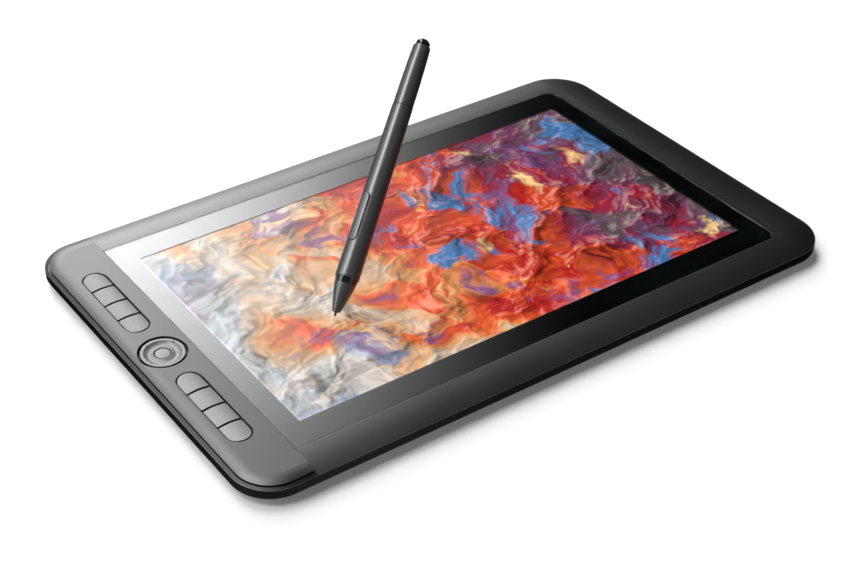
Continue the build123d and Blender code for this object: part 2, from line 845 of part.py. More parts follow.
with BuildPart() as key_switches:
    with BuildSketch(Plane.XY.offset(key_board_top_z)):
        with Locations(switch_places):
            Rectangle(switch_w, switch_w)
    extrude(amount=switch_h)
    with BuildSketch(Plane.XY.offset(key_board_top_z + switch_h)):
        with Locations(switch_places):
            Circle(plunger_r)
    extrude(amount=plunger_h)
save(key_switches.part, "key_switches")

with BuildPart() as wheel_encoder:
    with BuildSketch(Plane.XY.offset(key_board_top_z)):
        with Locations((controls_cx, controls_cy)):
            Circle(encoder_r)
            Circle(wheel_hub_r + wheel_hub_run_gap, mode=Mode.SUBTRACT)
    extrude(amount=encoder_h)
save(wheel_encoder.part, "wheel_encoder")

# Keys: crowned caps cut from one long stadium, each with a flange and a stem
flange_top_z = panel_under_z - key_flange_gap
stem_foot_z = switch_top_z + key_travel + key_stop_gap
crown_top_z = glass_top_z + key_rise
crown_side_z = crown_top_z - key_crown
crown_r = (key_w**2 / 4 + key_crown**2) / (2 * key_crown)
for key_index, (slot_y, key_number) in enumerate(key_places, start=1):
    first = key_number == 0
    last = key_number == keys_per_slot - 1
    high_y = slot_y + row_len / 2 - key_number * key_pitch - (0 if first else key_gap / 2)
    low_y = slot_y + row_len / 2 - (key_number + 1) * key_pitch + (0 if last else key_gap / 2)
    cut_back = high_y + (cut_over if first else 0)
    cut_front = low_y - (cut_over if last else 0)
    with BuildPart() as key:
        # Plan of the key, rounded where the stadium ends
        with BuildSketch(Plane.XY.offset(flange_top_z - key_flange_t)):
            with Locations((controls_cx, slot_y)):
                SlotOverall(row_len, key_w, rotation=90)
            with Locations((controls_cx, (cut_back + cut_front) / 2)):
                Rectangle(slot_w, cut_back - cut_front, mode=Mode.INTERSECT)
        extrude(amount=crown_top_z - flange_top_z + key_flange_t)
        # The crown is part of a long cylinder lying along the slot
        with BuildSketch(Plane.XZ.offset(-cut_back - cut_over)):
            with Locations((controls_cx, crown_top_z - crown_r)):
                Circle(crown_r)
        extrude(amount=cut_back - cut_front + 2 * cut_over, mode=Mode.INTERSECT)
        cap_edges = key.edges().filter_by(lambda edge: edge.center().Z > crown_side_z - key_edge_r)
        fillet(cap_edges, key_edge_r)
        # Flange along the slot's walls keeps the key under the panel
        with BuildSketch(Plane.XY.offset(flange_top_z - key_flange_t)):
            with Locations((controls_cx, slot_y)):
                SlotOverall(row_len + 2 * key_flange_w, key_w + 2 * key_flange_w, rotation=90)
            with Locations((controls_cx, (cut_back + cut_front) / 2)):
                Rectangle(slot_w + 2 * key_flange_w, cut_back - cut_front, mode=Mode.INTERSECT)
        extrude(amount=key_flange_t)
        stem_y = slot_y + row_len / 2 - (key_number + 1 / 2) * key_pitch
        with BuildSketch(Plane.XY.offset(stem_foot_z)):
            with Locations((controls_cx, stem_y)):
                Circle(key_stem_r)
        extrude(amount=flange_top_z - stem_foot_z)
    save(key.part, f"key_{key_index}")

# Wheel: a turned disc with a rolled rim, a dish, a ridge round the bore and a hub below
wheel_side = Plane(origin=(controls_cx, controls_cy, 0), x_dir=(1, 0, 0), z_dir=(0, -1, 0))
wheel_axis = Axis((controls_cx, controls_cy, 0), (0, 0, 1))
wheel_top_z = glass_top_z - wheel_sink
wheel_edge_z = wheel_top_z - (wheel_r - wheel_rim_out_r)
wheel_bore_r = button_r + wheel_bore_gap
ridge_foot_z = wheel_top_z - wheel_dish_depth * 3 / 4
wheel_hub_foot_z = key_board_top_z + wheel_hub_foot_gap
wheel_flange_bottom_z = flange_top_z - wheel_flange_t
with BuildPart() as wheel:
    with BuildSketch(wheel_side):
        with BuildLine():
            bore_top = (wheel_bore_r, ridge_foot_z)
            ridge_out = (wheel_ridge_out_r, ridge_foot_z)
            ridge_top = (wheel_ridge_r, wheel_top_z - wheel_ridge_depth)
            rim_in = (wheel_rim_in_r, wheel_top_z)
            rim_out = (wheel_rim_out_r, wheel_top_z)
            edge = (wheel_r, wheel_edge_z)
            ThreePointArc(bore_top, ridge_top, ridge_out)
            ThreePointArc(ridge_out, (wheel_dish_r, wheel_top_z - wheel_dish_depth), rim_in)
            Line(rim_in, rim_out)
            RadiusArc(rim_out, edge, wheel_r - wheel_rim_out_r)
            Polyline(
                edge,
                (wheel_r, flange_top_z),
                (wheel_flange_r, flange_top_z),
                (wheel_flange_r, wheel_flange_bottom_z),
                (wheel_hub_r, wheel_flange_bottom_z),
                (wheel_hub_r, wheel_hub_foot_z),
                (wheel_bore_r, wheel_hub_foot_z),
                bore_top,
            )
        make_face()
    revolve(axis=wheel_axis)
    with BuildSketch(Plane.XY.offset(wheel_top_z)):
        with Locations((controls_cx, controls_cy)):
            with PolarLocations(wheel_dimple_circle_r, wheel_dimple_count, wheel_dimple_turn):
                Circle(wheel_dimple_r)
    extrude(amount=-wheel_dimple_depth, mode=Mode.SUBTRACT)
save(wheel.part, "wheel")

button_top_z = glass_top_z - button_sink
with BuildPart() as wheel_button:
    with BuildSketch(wheel_side):
        with BuildLine():
            summit = (0, button_top_z)
            shoulder = (button_r, button_top_z - button_dome)
            ThreePointArc(summit, (button_r / 2, button_top_z - button_dome / 4), shoulder)
            Polyline(
                shoulder,
                (button_r, button_top_z - button_cap_h),
                (button_stem_r, button_top_z - button_cap_h),
                (button_stem_r, stem_foot_z),
                (0, stem_foot_z),
                summit,
            )
        make_face()
    revolve(axis=wheel_axis)
save(wheel_button.part, "wheel_button")

# Flat cables: screen to main board, key board to main board, port board to main board
flex_run_z = main_board_top_z + flex_t / 2
screen_flex_z = (cell_top_z + cell_bottom_z) / 2
main_board_back = main_board_cy + main_board_d / 2
main_board_left = main_board_cx - main_board_w / 2
main_board_right = main_board_cx + main_board_w / 2
with BuildPart() as screen_flex:
    with BuildLine(Plane.YZ.offset(screen_flex_x)):
        FilletPolyline(
            (cell_d / 2, screen_flex_z),
            (flex_slot_y, screen_flex_z),
            (flex_slot_y, flex_run_z),
            (main_board_back - flex_overlap, flex_run_z),
            radius=flex_bend_r,
        )
    with BuildSketch(Plane.XZ.offset(-cell_d / 2)):
        with Locations((screen_flex_x, screen_flex_z)):
            Rectangle(flex_w, flex_t)
    sweep()
save(screen_flex.part, "screen_flex")

key_flex_start = controls_cx + key_board_w / 2 - 2 * flex_overlap
key_flex_z = key_board_top_z - board_t - flex_t / 2
with BuildPart() as key_flex:
    with BuildLine(Plane.XZ.offset(-main_board_cy)):
        FilletPolyline(
            (key_flex_start, key_flex_z),
            (key_flex_start + flex_overlap, key_flex_z),
            (key_flex_start + flex_overlap + key_flex_run, flex_run_z),
            (main_board_left + flex_overlap, flex_run_z),
            radius=flex_bend_r,
        )
    with BuildSketch(Plane.YZ.offset(key_flex_start)):
        with Locations((main_board_cy, key_flex_z)):
            Rectangle(flex_w, flex_t)
    sweep()
save(key_flex.part, "key_flex")

port_flex_back = port_board_cy - port_board_d / 2 + flex_overlap / 2
with BuildPart() as port_flex:
    with BuildSketch(Plane.XY.offset(main_board_top_z)):
        with Locations((main_board_right - port_flex_overlap, port_flex_back)):
            Rectangle(
                port_flex_w,
                port_flex_back - main_board_back + port_flex_overlap,
                align=Align.MAX,
            )
    extrude(amount=flex_t)
save(port_flex.part, "port_flex")

# Pen frame: Z runs up the pen from the nib, X points out of the side where the rocker is
tilt = radians(pen_tilt)
turn = radians(pen_turn)
nib_z = glass_top_z + nib_glass_gap + nib_r * (1 - sin(tilt))
roll = radians(pen_roll)
along_pen = Vector(cos(tilt) * cos(turn), cos(tilt) * sin(turn), sin(tilt))
over_pen = Vector(-sin(tilt) * cos(turn), -sin(tilt) * sin(turn), cos(tilt))
pen_frame = Plane(
    origin=(nib_x, nib_y, nib_z),
    x_dir=over_pen * cos(roll) + along_pen.cross(over_pen) * sin(roll),
    z_dir=along_pen,
)
pen_side = Plane(origin=pen_frame.origin, x_dir=pen_frame.x_dir, z_dir=-pen_frame.y_dir)
pen_axis = Axis(pen_frame.origin, pen_frame.z_dir)
pen_rocker_side = Plane(origin=pen_frame.origin, x_dir=pen_frame.z_dir, z_dir=pen_frame.x_dir)
pen_pin_side = Plane(origin=pen_frame.origin, x_dir=pen_frame.x_dir, z_dir=pen_frame.y_dir)


def turned(points):
    """A closed straight-sided outline of (radius, station), turned about the pen's axis."""
    with BuildPart() as form:
        with BuildSketch(pen_side):
            with BuildLine():
                Polyline(points, close=True)
            make_face()
        revolve(axis=pen_axis)
    return form.part


# Nib and the holder that pushes on the pressure sensor
with BuildPart() as nib:
    with BuildSketch(pen_side):
        with BuildLine():
            tip_side = (nib_r, nib_r)
            RadiusArc((0, 0), tip_side, -nib_r)
            Polyline(tip_side, (nib_r, nib_len), (0, nib_len), (0, 0))
        make_face()
    revolve(axis=pen_axis)
save(nib.part, "nib")

holder_start = nib_len - holder_grip
holder_end = nib_len + holder_len - holder_grip
holder_points = (
    (nib_r, holder_start),
    (holder_r, holder_start),
    (holder_r, holder_end),
    (0, holder_end),
    (0, nib_len),
    (nib_r, nib_len),
)
nib_holder = turned(holder_points)
save(nib_holder, "nib_holder")

# Nose cone: a faintly bulging cone with a bore for the nib and a spigot behind
nose_mid = (nose_start + nose_end) / 2
nose_mid_r = (nose_front_r + nose_end_r) / 2 + nose_bulge
with BuildPart() as nose_cone:
    with BuildSketch(pen_side):
        with BuildLine():
            nose_front = (nose_front_r, nose_start)
            nose_back = (nose_end_r, nose_end)
            ThreePointArc(nose_front, (nose_mid_r, nose_mid), nose_back)
            Polyline(
                nose_back,
                (spigot_r, nose_end),
                (spigot_r, nose_end + spigot_len),
                (spigot_r - ring_wall, nose_end + spigot_len),
                (spigot_r - ring_wall, nose_mid),
                (nose_bore_r, nose_bore_end),
                (nose_bore_r, nose_start),
                nose_front,
            )
        make_face()
    revolve(axis=pen_axis)
save(nose_cone.part, "nose_cone")

# Outer form of the band and barrel: the nose's flare runs on to the band's end
with BuildPart() as barrel_form:
    with BuildSketch(pen_side):
        with BuildLine():
            Line((0, nose_end), (nose_end_r, nose_end))
            Line((nose_end_r, nose_end), (band_end_r - barrel_nose_edge, band_end - barrel_nose_edge))
            ThreePointArc(
                (band_end_r - barrel_nose_edge, band_end - barrel_nose_edge),
                (band_end_r - barrel_nose_edge / 4, band_end + barrel_nose_edge / 4),
                (band_end_r, band_end + 2 * barrel_nose_edge),
            )
            ThreePointArc(
                (band_end_r, band_end + 2 * barrel_nose_edge),
                (barrel_mid_r, barrel_mid),
                (barrel_end_r, barrel_end),
            )
            Polyline((barrel_end_r, barrel_end), (0, barrel_end), (0, nose_end))
        make_face()
    revolve(axis=pen_axis)

# Posts stand in the band between the windows
post_turn = window_turn + 180 / window_count
with BuildPart() as window_posts:
    with BuildSketch(pen_frame.offset(nose_end)):
        with PolarLocations(spigot_r, window_count, post_turn):
            Rectangle(2 * nose_end_r, window_post_w, align=(Align.MIN, Align.CENTER))
    extrude(amount=band_end - nose_end)

barrel_bore_r = barrel_end_r - barrel_wall / 2
ring_inner_r = spigot_r + post_gap
ring_outer_r = ring_inner_r + ring_wall
rocker_mid = (rocker_start + rocker_end) / 2
rocker_len = rocker_end - rocker_start
with BuildPart() as band_cut:
    with BuildSketch(pen_frame.offset(nose_end)):
        Circle(2 * band_end_r)
    extrude(amount=band_end - nose_end)
    add(window_posts.part, mode=Mode.SUBTRACT)

with BuildPart() as pen_barrel:
    add(barrel_form.part)
    # The band is cut away except for the posts
    add(band_cut.part, mode=Mode.SUBTRACT)
    with BuildSketch(pen_frame.offset(nose_end)):
        Circle(ring_outer_r + post_gap)
    extrude(amount=band_end - nose_end, mode=Mode.SUBTRACT)
    with BuildSketch(pen_frame.offset(nose_end)):
        Circle(barrel_bore_r)
    extrude(amount=barrel_end - nose_end, mode=Mode.SUBTRACT)
    # Slot for the rocker, and a hole in each wall for its pin
    with BuildSketch(pen_rocker_side.offset(barrel_wall)):
        with Locations((rocker_mid, 0)):
            SlotOverall(rocker_len + 2 * rocker_gap, rocker_w + 2 * rocker_gap)
    extrude(amount=2 * band_end_r, mode=Mode.SUBTRACT)
    for hole_side in (-1, 1):
        with BuildSketch(pen_pin_side.offset(hole_side * rocker_w / 2)):
            with Locations((pin_height, -rocker_mid)):
                Circle(pin_r + pin_gap)
        extrude(amount=hole_side * (pin_len / 2 + pin_gap - rocker_w / 2), mode=Mode.SUBTRACT)
save(pen_barrel.part, "pen_barrel")

# Stations of the tail and of the insides, all counted from the barrel's end
tail_mid = barrel_end + tail_mid_run
tail_end = barrel_end + tail_len
pen_len = tail_end + cap_len
carrier_end = barrel_end - carrier_tail_gap
carrier_len = carrier_end - carrier_start
pen_board_len = carrier_end - pen_board_tail_gap - pen_board_start

# Glossy ring behind the posts, with a raised window between each pair
with BuildPart() as light_ring:
    with BuildSketch(pen_side):
        with BuildLine():
            Polyline(
                (ring_inner_r, nose_end),
                (nose_end_r - window_sink, nose_end),
                (band_end_r - barrel_nose_edge - window_sink, band_end - barrel_nose_edge),
                (band_end_r - barrel_nose_edge - window_sink, band_end),
                (ring_inner_r, band_end),
                close=True,
            )
        make_face()
    revolve(axis=pen_axis)
    with BuildSketch(pen_frame.offset(nose_end)):
        with PolarLocations(ring_outer_r, window_count, post_turn):
            Rectangle(
                2 * nose_end_r, window_post_w + 2 * post_gap, align=(Align.MIN, Align.CENTER)
            )
    extrude(amount=band_end - nose_end, mode=Mode.SUBTRACT)
save(light_ring.part, "light_ring")

# Rocker switch and the pin it rocks on
with BuildPart() as side_rocker:
    with BuildSketch(pen_rocker_side.offset(rocker_foot_r)):
        with Locations((rocker_mid, 0)):
            SlotOverall(rocker_len, rocker_w)
    extrude(amount=band_end_r)
    with BuildSketch(pen_frame.offset(rocker_start - rocker_gap)):
        Circle(barrel_mid_r + rocker_proud)
    extrude(amount=rocker_len + 2 * rocker_gap, mode=Mode.INTERSECT)
    fillet(
        side_rocker.faces().sort_by(Axis(pen_frame.origin, pen_frame.x_dir))[-1].edges(),
        rocker_edge_r,
    )
    with BuildSketch(pen_rocker_side.offset(barrel_mid_r)):
        with Locations((rocker_start + rocker_dot_inset, 0)):
            Circle(rocker_dot_r)
    extrude(amount=rocker_proud + rocker_dot_h)
    with BuildSketch(pen_pin_side.offset(-pin_len / 2)):
        with Locations((pin_height, -rocker_mid)):
            Circle(pin_r + pin_gap)
    extrude(amount=pin_len, mode=Mode.SUBTRACT)
save(side_rocker.part, "side_rocker")

with BuildPart() as rocker_pin:
    with BuildSketch(pen_pin_side.offset(-pin_len / 2)):
        with Locations((pin_height, -rocker_mid)):
            Circle(pin_r)
    extrude(amount=pin_len)
save(rocker_pin.part, "rocker_pin")

# Tail sleeve and end cap
tail_start = barrel_end + tail_gap
tail_bore_r = tail_end_r - barrel_wall
dome_h = pen_len - cap_shoulder
dome_r = (cap_r**2 + dome_h**2) / (2 * dome_h)
with BuildPart() as tail_sleeve:
    with BuildSketch(pen_side):
        with BuildLine():
            tail_front = (barrel_end_r - tail_gap / 2, tail_start)
            tail_back = (tail_end_r, tail_end - tail_edge)
            ThreePointArc(tail_front, (tail_mid_r, tail_mid), tail_back)
            Polyline(
                tail_back,
                (tail_end_r - tail_edge, tail_end),
                (0, tail_end),
                (0, tail_end - barrel_wall),
                (tail_bore_r, tail_end - barrel_wall),
                (tail_bore_r, barrel_end),
                (barrel_end_r - tail_gap, barrel_end),
                (barrel_end_r - tail_gap, tail_start),
                tail_front,
            )
        make_face()
    revolve(axis=pen_axis)
save(tail_sleeve.part, "tail_sleeve")

with BuildPart() as end_cap:
    with BuildSketch(pen_side):
        with BuildLine():
            cap_side = (cap_r, cap_shoulder)
            Polyline(
                (0, pen_len),
                (0, tail_end),
                (cap_neck_r, tail_end),
                (cap_neck_r, tail_end + cap_neck_len),
                (cap_r, tail_end + 2 * cap_neck_len),
                cap_side,
            )
            RadiusArc(cap_side, (0, pen_len), -dome_r)
        make_face()
    revolve(axis=pen_axis)
save(end_cap.part, "end_cap")

# Coil round its ferrite core, behind the nose
core_points = (
    (nose_bore_r, core_start),
    (core_r, core_start),
    (core_r, core_end),
    (nose_bore_r, core_end),
)
save(turned(core_points), "ferrite_core")
coil_points = (
    (core_r, coil_start),
    (coil_r, coil_start),
    (coil_r, coil_end),
    (core_r, coil_end),
)
save(turned(coil_points), "pen_coil")

sensor_start = holder_end + nib_travel + sensor_gap
sensor_points = (
    (0, sensor_start),
    (sensor_r, sensor_start),
    (sensor_r, sensor_start + sensor_len),
    (0, sensor_start + sensor_len),
)
save(turned(sensor_points), "pressure_sensor")

# Carrier: a tube round core and sensor, running on as a shelf under the pen board
with BuildPart() as inner_carrier:
    with BuildSketch(pen_frame.offset(carrier_start)):
        Circle(carrier_r)
    extrude(amount=carrier_len)
    with BuildSketch(pen_frame.offset(carrier_start)):
        Circle(carrier_r - carrier_wall)
    extrude(amount=sensor_start + sensor_len - carrier_start, mode=Mode.SUBTRACT)
    with BuildSketch(pen_frame.offset(pen_board_start)):
        with Locations((-carrier_shelf_t, 0)):
            Rectangle(2 * carrier_r, 2 * carrier_r, align=(Align.MIN, Align.CENTER))
    extrude(amount=carrier_len, mode=Mode.SUBTRACT)
save(inner_carrier.part, "inner_carrier")

with BuildPart() as pen_board:
    with BuildSketch(pen_frame.offset(pen_board_start)):
        with Locations((-carrier_shelf_t, 0)):
            Rectangle(pen_board_t, pen_board_w, align=(Align.MIN, Align.CENTER))
    extrude(amount=pen_board_len)
save(pen_board.part, "pen_board")

board_face = pen_board_t - carrier_shelf_t
with BuildPart() as rocker_switches:
    with BuildSketch(pen_rocker_side.offset(board_face)):
        with Locations(
            (rocker_start + rocker_switch_w, 0), (rocker_end - rocker_switch_w, 0)
        ):
            Rectangle(rocker_switch_w, rocker_switch_w)
    extrude(amount=rocker_switch_h)
save(rocker_switches.part, "rocker_switches")
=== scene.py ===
import math
import bpy
import numpy as np
from mathutils import Matrix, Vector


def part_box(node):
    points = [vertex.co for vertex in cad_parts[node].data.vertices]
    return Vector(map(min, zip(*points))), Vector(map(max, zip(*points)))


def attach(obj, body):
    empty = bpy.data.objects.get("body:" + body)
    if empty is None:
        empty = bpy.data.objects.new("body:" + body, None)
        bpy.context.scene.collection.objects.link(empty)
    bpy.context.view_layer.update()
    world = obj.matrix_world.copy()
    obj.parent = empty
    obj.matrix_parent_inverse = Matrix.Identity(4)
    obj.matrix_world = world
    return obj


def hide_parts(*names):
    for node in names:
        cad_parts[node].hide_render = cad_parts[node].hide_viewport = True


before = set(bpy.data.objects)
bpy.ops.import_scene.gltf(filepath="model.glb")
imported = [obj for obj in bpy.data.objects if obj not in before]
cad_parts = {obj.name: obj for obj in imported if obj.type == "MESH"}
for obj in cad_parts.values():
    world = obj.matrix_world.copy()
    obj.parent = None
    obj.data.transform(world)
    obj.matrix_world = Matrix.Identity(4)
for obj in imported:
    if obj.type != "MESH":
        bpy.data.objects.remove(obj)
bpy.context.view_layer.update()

# Front frame and key panel: injection-moulded charcoal plastic with a fine spark-eroded
# texture that reads as a satin sheen. The panel is a separate inlay pressed into the
# frame's recess, a shade paler than the frame.


def new_material(name):
    """An empty material with one surface shader, given back with its node tree and shader."""
    material = bpy.data.materials.new(name)
    material.use_nodes = True
    tree = material.node_tree
    return material, tree, tree.nodes["Principled BSDF"]


def add_node(tree, kind, inputs=None, **settings):
    """A node of one kind, with its settings and unlinked input values."""
    node = tree.nodes.new(kind)
    for key, value in settings.items():
        setattr(node, key, value)
    for key, value in (inputs or {}).items():
        node.inputs[key].default_value = value
    return node


def new_group(name, inputs, outputs):
    """A shader node group with named sockets, given back with its input and output nodes."""
    group = bpy.data.node_groups.new(name, "ShaderNodeTree")
    for label, kind, default in inputs:
        socket = group.interface.new_socket(label, in_out="INPUT", socket_type=kind)
        socket.default_value = default
    for label, kind in outputs:
        group.interface.new_socket(label, in_out="OUTPUT", socket_type=kind)
    return group, group.nodes.new("NodeGroupInput"), group.nodes.new("NodeGroupOutput")


def place_group(tree, group, values):
    """The group set in a material's tree with that material's own values."""
    node = tree.nodes.new("ShaderNodeGroup")
    node.node_tree = group
    for key, value in values.items():
        node.inputs[key].default_value = value
    return node


def shader_of(material):
    """A material's surface shader."""
    return material.node_tree.nodes["Principled BSDF"]


def grouped(name, group, values):
    """A material whose colour, roughness and normal all come from one shader group."""
    material, tree, shader = new_material(name)
    node = place_group(tree, group, values)
    for output, target in (("Colour", "Base Color"), ("Roughness", "Roughness"), ("Normal", "Normal")):
        tree.links.new(node.outputs[output], shader.inputs[target])
    return material


def maths(tree, operation, *values, clamp=False):
    """One sum on sockets or numbers in a tree, given back as its output."""
    node = add_node(tree, "ShaderNodeMath", operation=operation, use_clamp=clamp)
    for index, value in enumerate(values):
        if isinstance(value, (int, float)):
            node.inputs[index].default_value = value
        else:
            tree.links.new(value, node.inputs[index])
    return node.outputs[0]


def own_axes(tree):
    """The object's own X, Y and Z, as sockets."""
    own_place = add_node(tree, "ShaderNodeTexCoord")
    axes = add_node(tree, "ShaderNodeSeparateXYZ")
    tree.links.new(own_place.outputs["Object"], axes.inputs[0])
    return axes.outputs["X"], axes.outputs["Y"], axes.outputs["Z"]


def dress(material, *nodes):
    """Gives CAD nodes one material in every slot."""
    for name in nodes:
        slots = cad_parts[name].data.materials
        slots.clear()
        slots.append(material)


# Moulded grain: fine texture bump, tiny pale and dark specks, and a slow drift of tone
COLOUR, FLOAT, VECTOR = "NodeSocketColor", "NodeSocketFloat", "NodeSocketVector"
moulded_grain, grain_in, grain_out = new_group(
    "moulded_grain",
    [
        ("Colour", COLOUR, (0.01, 0.01, 0.01, 1)),
        ("Speck Colour", COLOUR, (0.05, 0.05, 0.05, 1)),
        ("Roughness", FLOAT, 0.4),
        ("Grain Scale", FLOAT, 2400.0),
        ("Grain Depth", FLOAT, 0.06),
        ("Speck Share", FLOAT, 0.25),
        ("Drift", FLOAT, 0.12),
    ],
    [("Colour", COLOUR), ("Roughness", FLOAT), ("Normal", VECTOR)],
)
place = add_node(moulded_grain, "ShaderNodeTexCoord")
fine = add_node(moulded_grain, "ShaderNodeTexNoise", {"Detail": 3.0, "Roughness": 0.6})
speck = add_node(moulded_grain, "ShaderNodeTexNoise", {"Scale": 1150.0, "Detail": 1.0})
speck_mask = add_node(moulded_grain, "ShaderNodeMapRange", {"From Min": 0.6, "From Max": 0.78})
speck_part = add_node(moulded_grain, "ShaderNodeMath", operation="MULTIPLY")
slow = add_node(moulded_grain, "ShaderNodeTexNoise", {"Scale": 22.0, "Detail": 5.0, "Roughness": 0.55})
slow_swing = add_node(moulded_grain, "ShaderNodeMath", {1: 0.5}, operation="SUBTRACT")
slow_part = add_node(moulded_grain, "ShaderNodeMath", operation="MULTIPLY")
tone = add_node(moulded_grain, "ShaderNodeMath", {1: 1.0}, operation="ADD")
toned = add_node(moulded_grain, "ShaderNodeVectorMath", operation="SCALE")
speckled = add_node(moulded_grain, "ShaderNodeMix", data_type="RGBA")
rough_swing = add_node(moulded_grain, "ShaderNodeMath", operation="MULTIPLY_ADD")
bump = add_node(moulded_grain, "ShaderNodeBump", {"Distance": 0.00006})
for a, b in (
    (place.outputs["Object"], fine.inputs["Vector"]),
    (place.outputs["Object"], speck.inputs["Vector"]),
    (place.outputs["Object"], slow.inputs["Vector"]),
    (grain_in.outputs["Grain Scale"], fine.inputs["Scale"]),
    (speck.outputs["Fac"], speck_mask.inputs["Value"]),
    (speck_mask.outputs["Result"], speck_part.inputs[0]),
    (grain_in.outputs["Speck Share"], speck_part.inputs[1]),
    (slow.outputs["Fac"], slow_swing.inputs[0]),
    (slow_swing.outputs[0], slow_part.inputs[0]),
    (grain_in.outputs["Drift"], slow_part.inputs[1]),
    (slow_part.outputs[0], tone.inputs[0]),
    (grain_in.outputs["Colour"], toned.inputs[0]),
    (tone.outputs[0], toned.inputs["Scale"]),
    (speck_part.outputs[0], speckled.inputs["Factor"]),
    (toned.outputs["Vector"], speckled.inputs["A"]),
    (grain_in.outputs["Speck Colour"], speckled.inputs["B"]),
    (slow_part.outputs[0], rough_swing.inputs[0]),
    (grain_in.outputs["Roughness"], rough_swing.inputs[1]),
    (grain_in.outputs["Roughness"], rough_swing.inputs[2]),
    (fine.outputs["Fac"], bump.inputs["Height"]),
    (grain_in.outputs["Grain Depth"], bump.inputs["Strength"]),
    (speckled.outputs["Result"], grain_out.inputs["Colour"]),
    (rough_swing.outputs[0], grain_out.inputs["Roughness"]),
    (bump.outputs["Normal"], grain_out.inputs["Normal"]),
):
    moulded_grain.links.new(a, b)


def moulded(name, colour, speck_colour, roughness, grain_scale, grain_depth, speck_share, drift):
    """A moulded plastic, with the grain group behind a plain shader."""
    return grouped(
        name,
        moulded_grain,
        {
            "Colour": (*colour, 1),
            "Speck Colour": (*speck_colour, 1),
            "Roughness": roughness,
            "Grain Scale": grain_scale,
            "Grain Depth": grain_depth,
            "Speck Share": speck_share,
            "Drift": drift,
        },
    )


def between(tree, value, low, high, soft):
    """A mask that is one while a value lies between two limits, with soft ends."""
    rise = add_node(tree, "ShaderNodeMapRange", {"From Min": low - soft, "From Max": low + soft})
    fall = add_node(tree, "ShaderNodeMapRange", {"From Min": high + soft, "From Max": high - soft})
    tree.links.new(value, rise.inputs["Value"])
    tree.links.new(value, fall.inputs["Value"])
    return maths(tree, "MULTIPLY", rise.outputs["Result"], fall.outputs["Result"])


def painted(tree, colour, paint, mask):
    """A colour socket covered by a paint where a mask is one."""
    mix = add_node(tree, "ShaderNodeMix", data_type="RGBA")
    mix.inputs["B"].default_value = (*paint, 1)
    tree.links.new(mask, mix.inputs["Factor"])
    tree.links.new(colour, mix.inputs["A"])
    return mix.outputs["Result"]


frame_plastic = moulded(
    "charcoal_frame_plastic", (0.003, 0.0031, 0.0034), (0.022, 0.023, 0.025), 0.34, 2600, 0.12, 0.30, 0.25
)
frame_shader = shader_of(frame_plastic)
frame_shader.inputs["Specular IOR Level"].default_value = 0.86
frame_tree = frame_plastic.node_tree
frame_x, frame_y, frame_z = own_axes(frame_tree)
rim_drop, rim_band = 0.00225, 0.0002
rim_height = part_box("front_frame")[1].z - rim_drop
# The wall below the rim is painted a deeper black as painted shade, and the rim's sharp edge is painted
# pale as a painted highlight
wall_shade_mask = between(frame_tree, frame_z, 0.0, rim_height - rim_band, 0.00005)
rim_highlight_mask = between(frame_tree, frame_z, rim_height - rim_band, rim_height + 0.00004, 0.00004)
# The long edges beside the glass carry a fainter painted highlight, a little paler than the frame
rebate_low, rebate_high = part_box("cover_glass")
rebate_band, glass_far_r = 0.0004, 0.008
rebate_x = between(frame_tree, frame_x, rebate_low.x, rebate_high.x - glass_far_r, 0.0005)
rebate_front = between(frame_tree, frame_y, rebate_low.y - rebate_band, rebate_low.y, 0.00008)
rebate_back = between(frame_tree, frame_y, rebate_high.y, rebate_high.y + rebate_band, 0.00008)
rebate_y = maths(frame_tree, "MAXIMUM", rebate_front, rebate_back)
frame_colour = frame_shader.inputs["Base Color"].links[0].from_socket
# Painted shade on the wall, a painted highlight on the rim, and a fainter painted highlight beside the
# glass
for paint, mask in (
    ((0.0005, 0.0005, 0.0006), wall_shade_mask),
    ((0.06, 0.061, 0.063), rim_highlight_mask),
    ((0.035, 0.036, 0.037), maths(frame_tree, "MULTIPLY", rebate_x, rebate_y)),
):
    frame_colour = painted(frame_tree, frame_colour, paint, mask)
frame_tree.links.new(frame_colour, frame_shader.inputs["Base Color"])
# The narrow strip outside the key panel is nearly as dull as the wall
panel_low, panel_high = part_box("key_panel")
strip_x = between(frame_tree, frame_x, -1.0, panel_high.x, 0.0001)
strip_z = between(frame_tree, frame_z, 0.0, rim_height + 0.0004, 0.00005)
strip_mask = maths(frame_tree, "MULTIPLY", maths(frame_tree, "MULTIPLY", strip_x, strip_z), 0.7)
dull_mask = maths(frame_tree, "MAXIMUM", strip_mask, wall_shade_mask)
frame_tree.links.new(dull_mask, frame_shader.inputs["Metallic"])
dress(frame_plastic, "front_frame")
panel_plastic = moulded(
    "charcoal_panel_plastic", (0.005, 0.0051, 0.0054), (0.04, 0.041, 0.043), 0.33, 2600, 0.12, 0.35, 0.2
)
panel_shader = shader_of(panel_plastic)
panel_shader.inputs["Specular IOR Level"].default_value = 0.68
panel_tree = panel_plastic.node_tree
panel_x, panel_y, panel_z = own_axes(panel_tree)
# The panel's edge at the seam stays in shadow, and so do the walls of its openings, which lie
# well below its top and well inside its rim
seam_mask = between(panel_tree, panel_x, panel_high.x - 0.00035, panel_high.x + 0.001, 0.00008)
deep_mask = between(panel_tree, panel_z, 0.0, panel_high.z - 0.00025, 0.00005)
inner_mask = between(panel_tree, panel_x, panel_low.x + 0.006, panel_high.x - 0.001, 0.0001)
mid_mask = between(panel_tree, panel_y, panel_low.y + 0.015, panel_high.y - 0.015, 0.0001)
opening_mask = maths(panel_tree, "MULTIPLY", inner_mask, mid_mask)
opening_mask = maths(panel_tree, "MULTIPLY", opening_mask, deep_mask)
panel_colour = panel_shader.inputs["Base Color"].links[0].from_socket
for mask in (seam_mask, opening_mask):
    panel_colour = painted(panel_tree, panel_colour, (0.0008, 0.0008, 0.0008), mask)
panel_tree.links.new(panel_colour, panel_shader.inputs["Base Color"])
dress(panel_plastic, "key_panel")

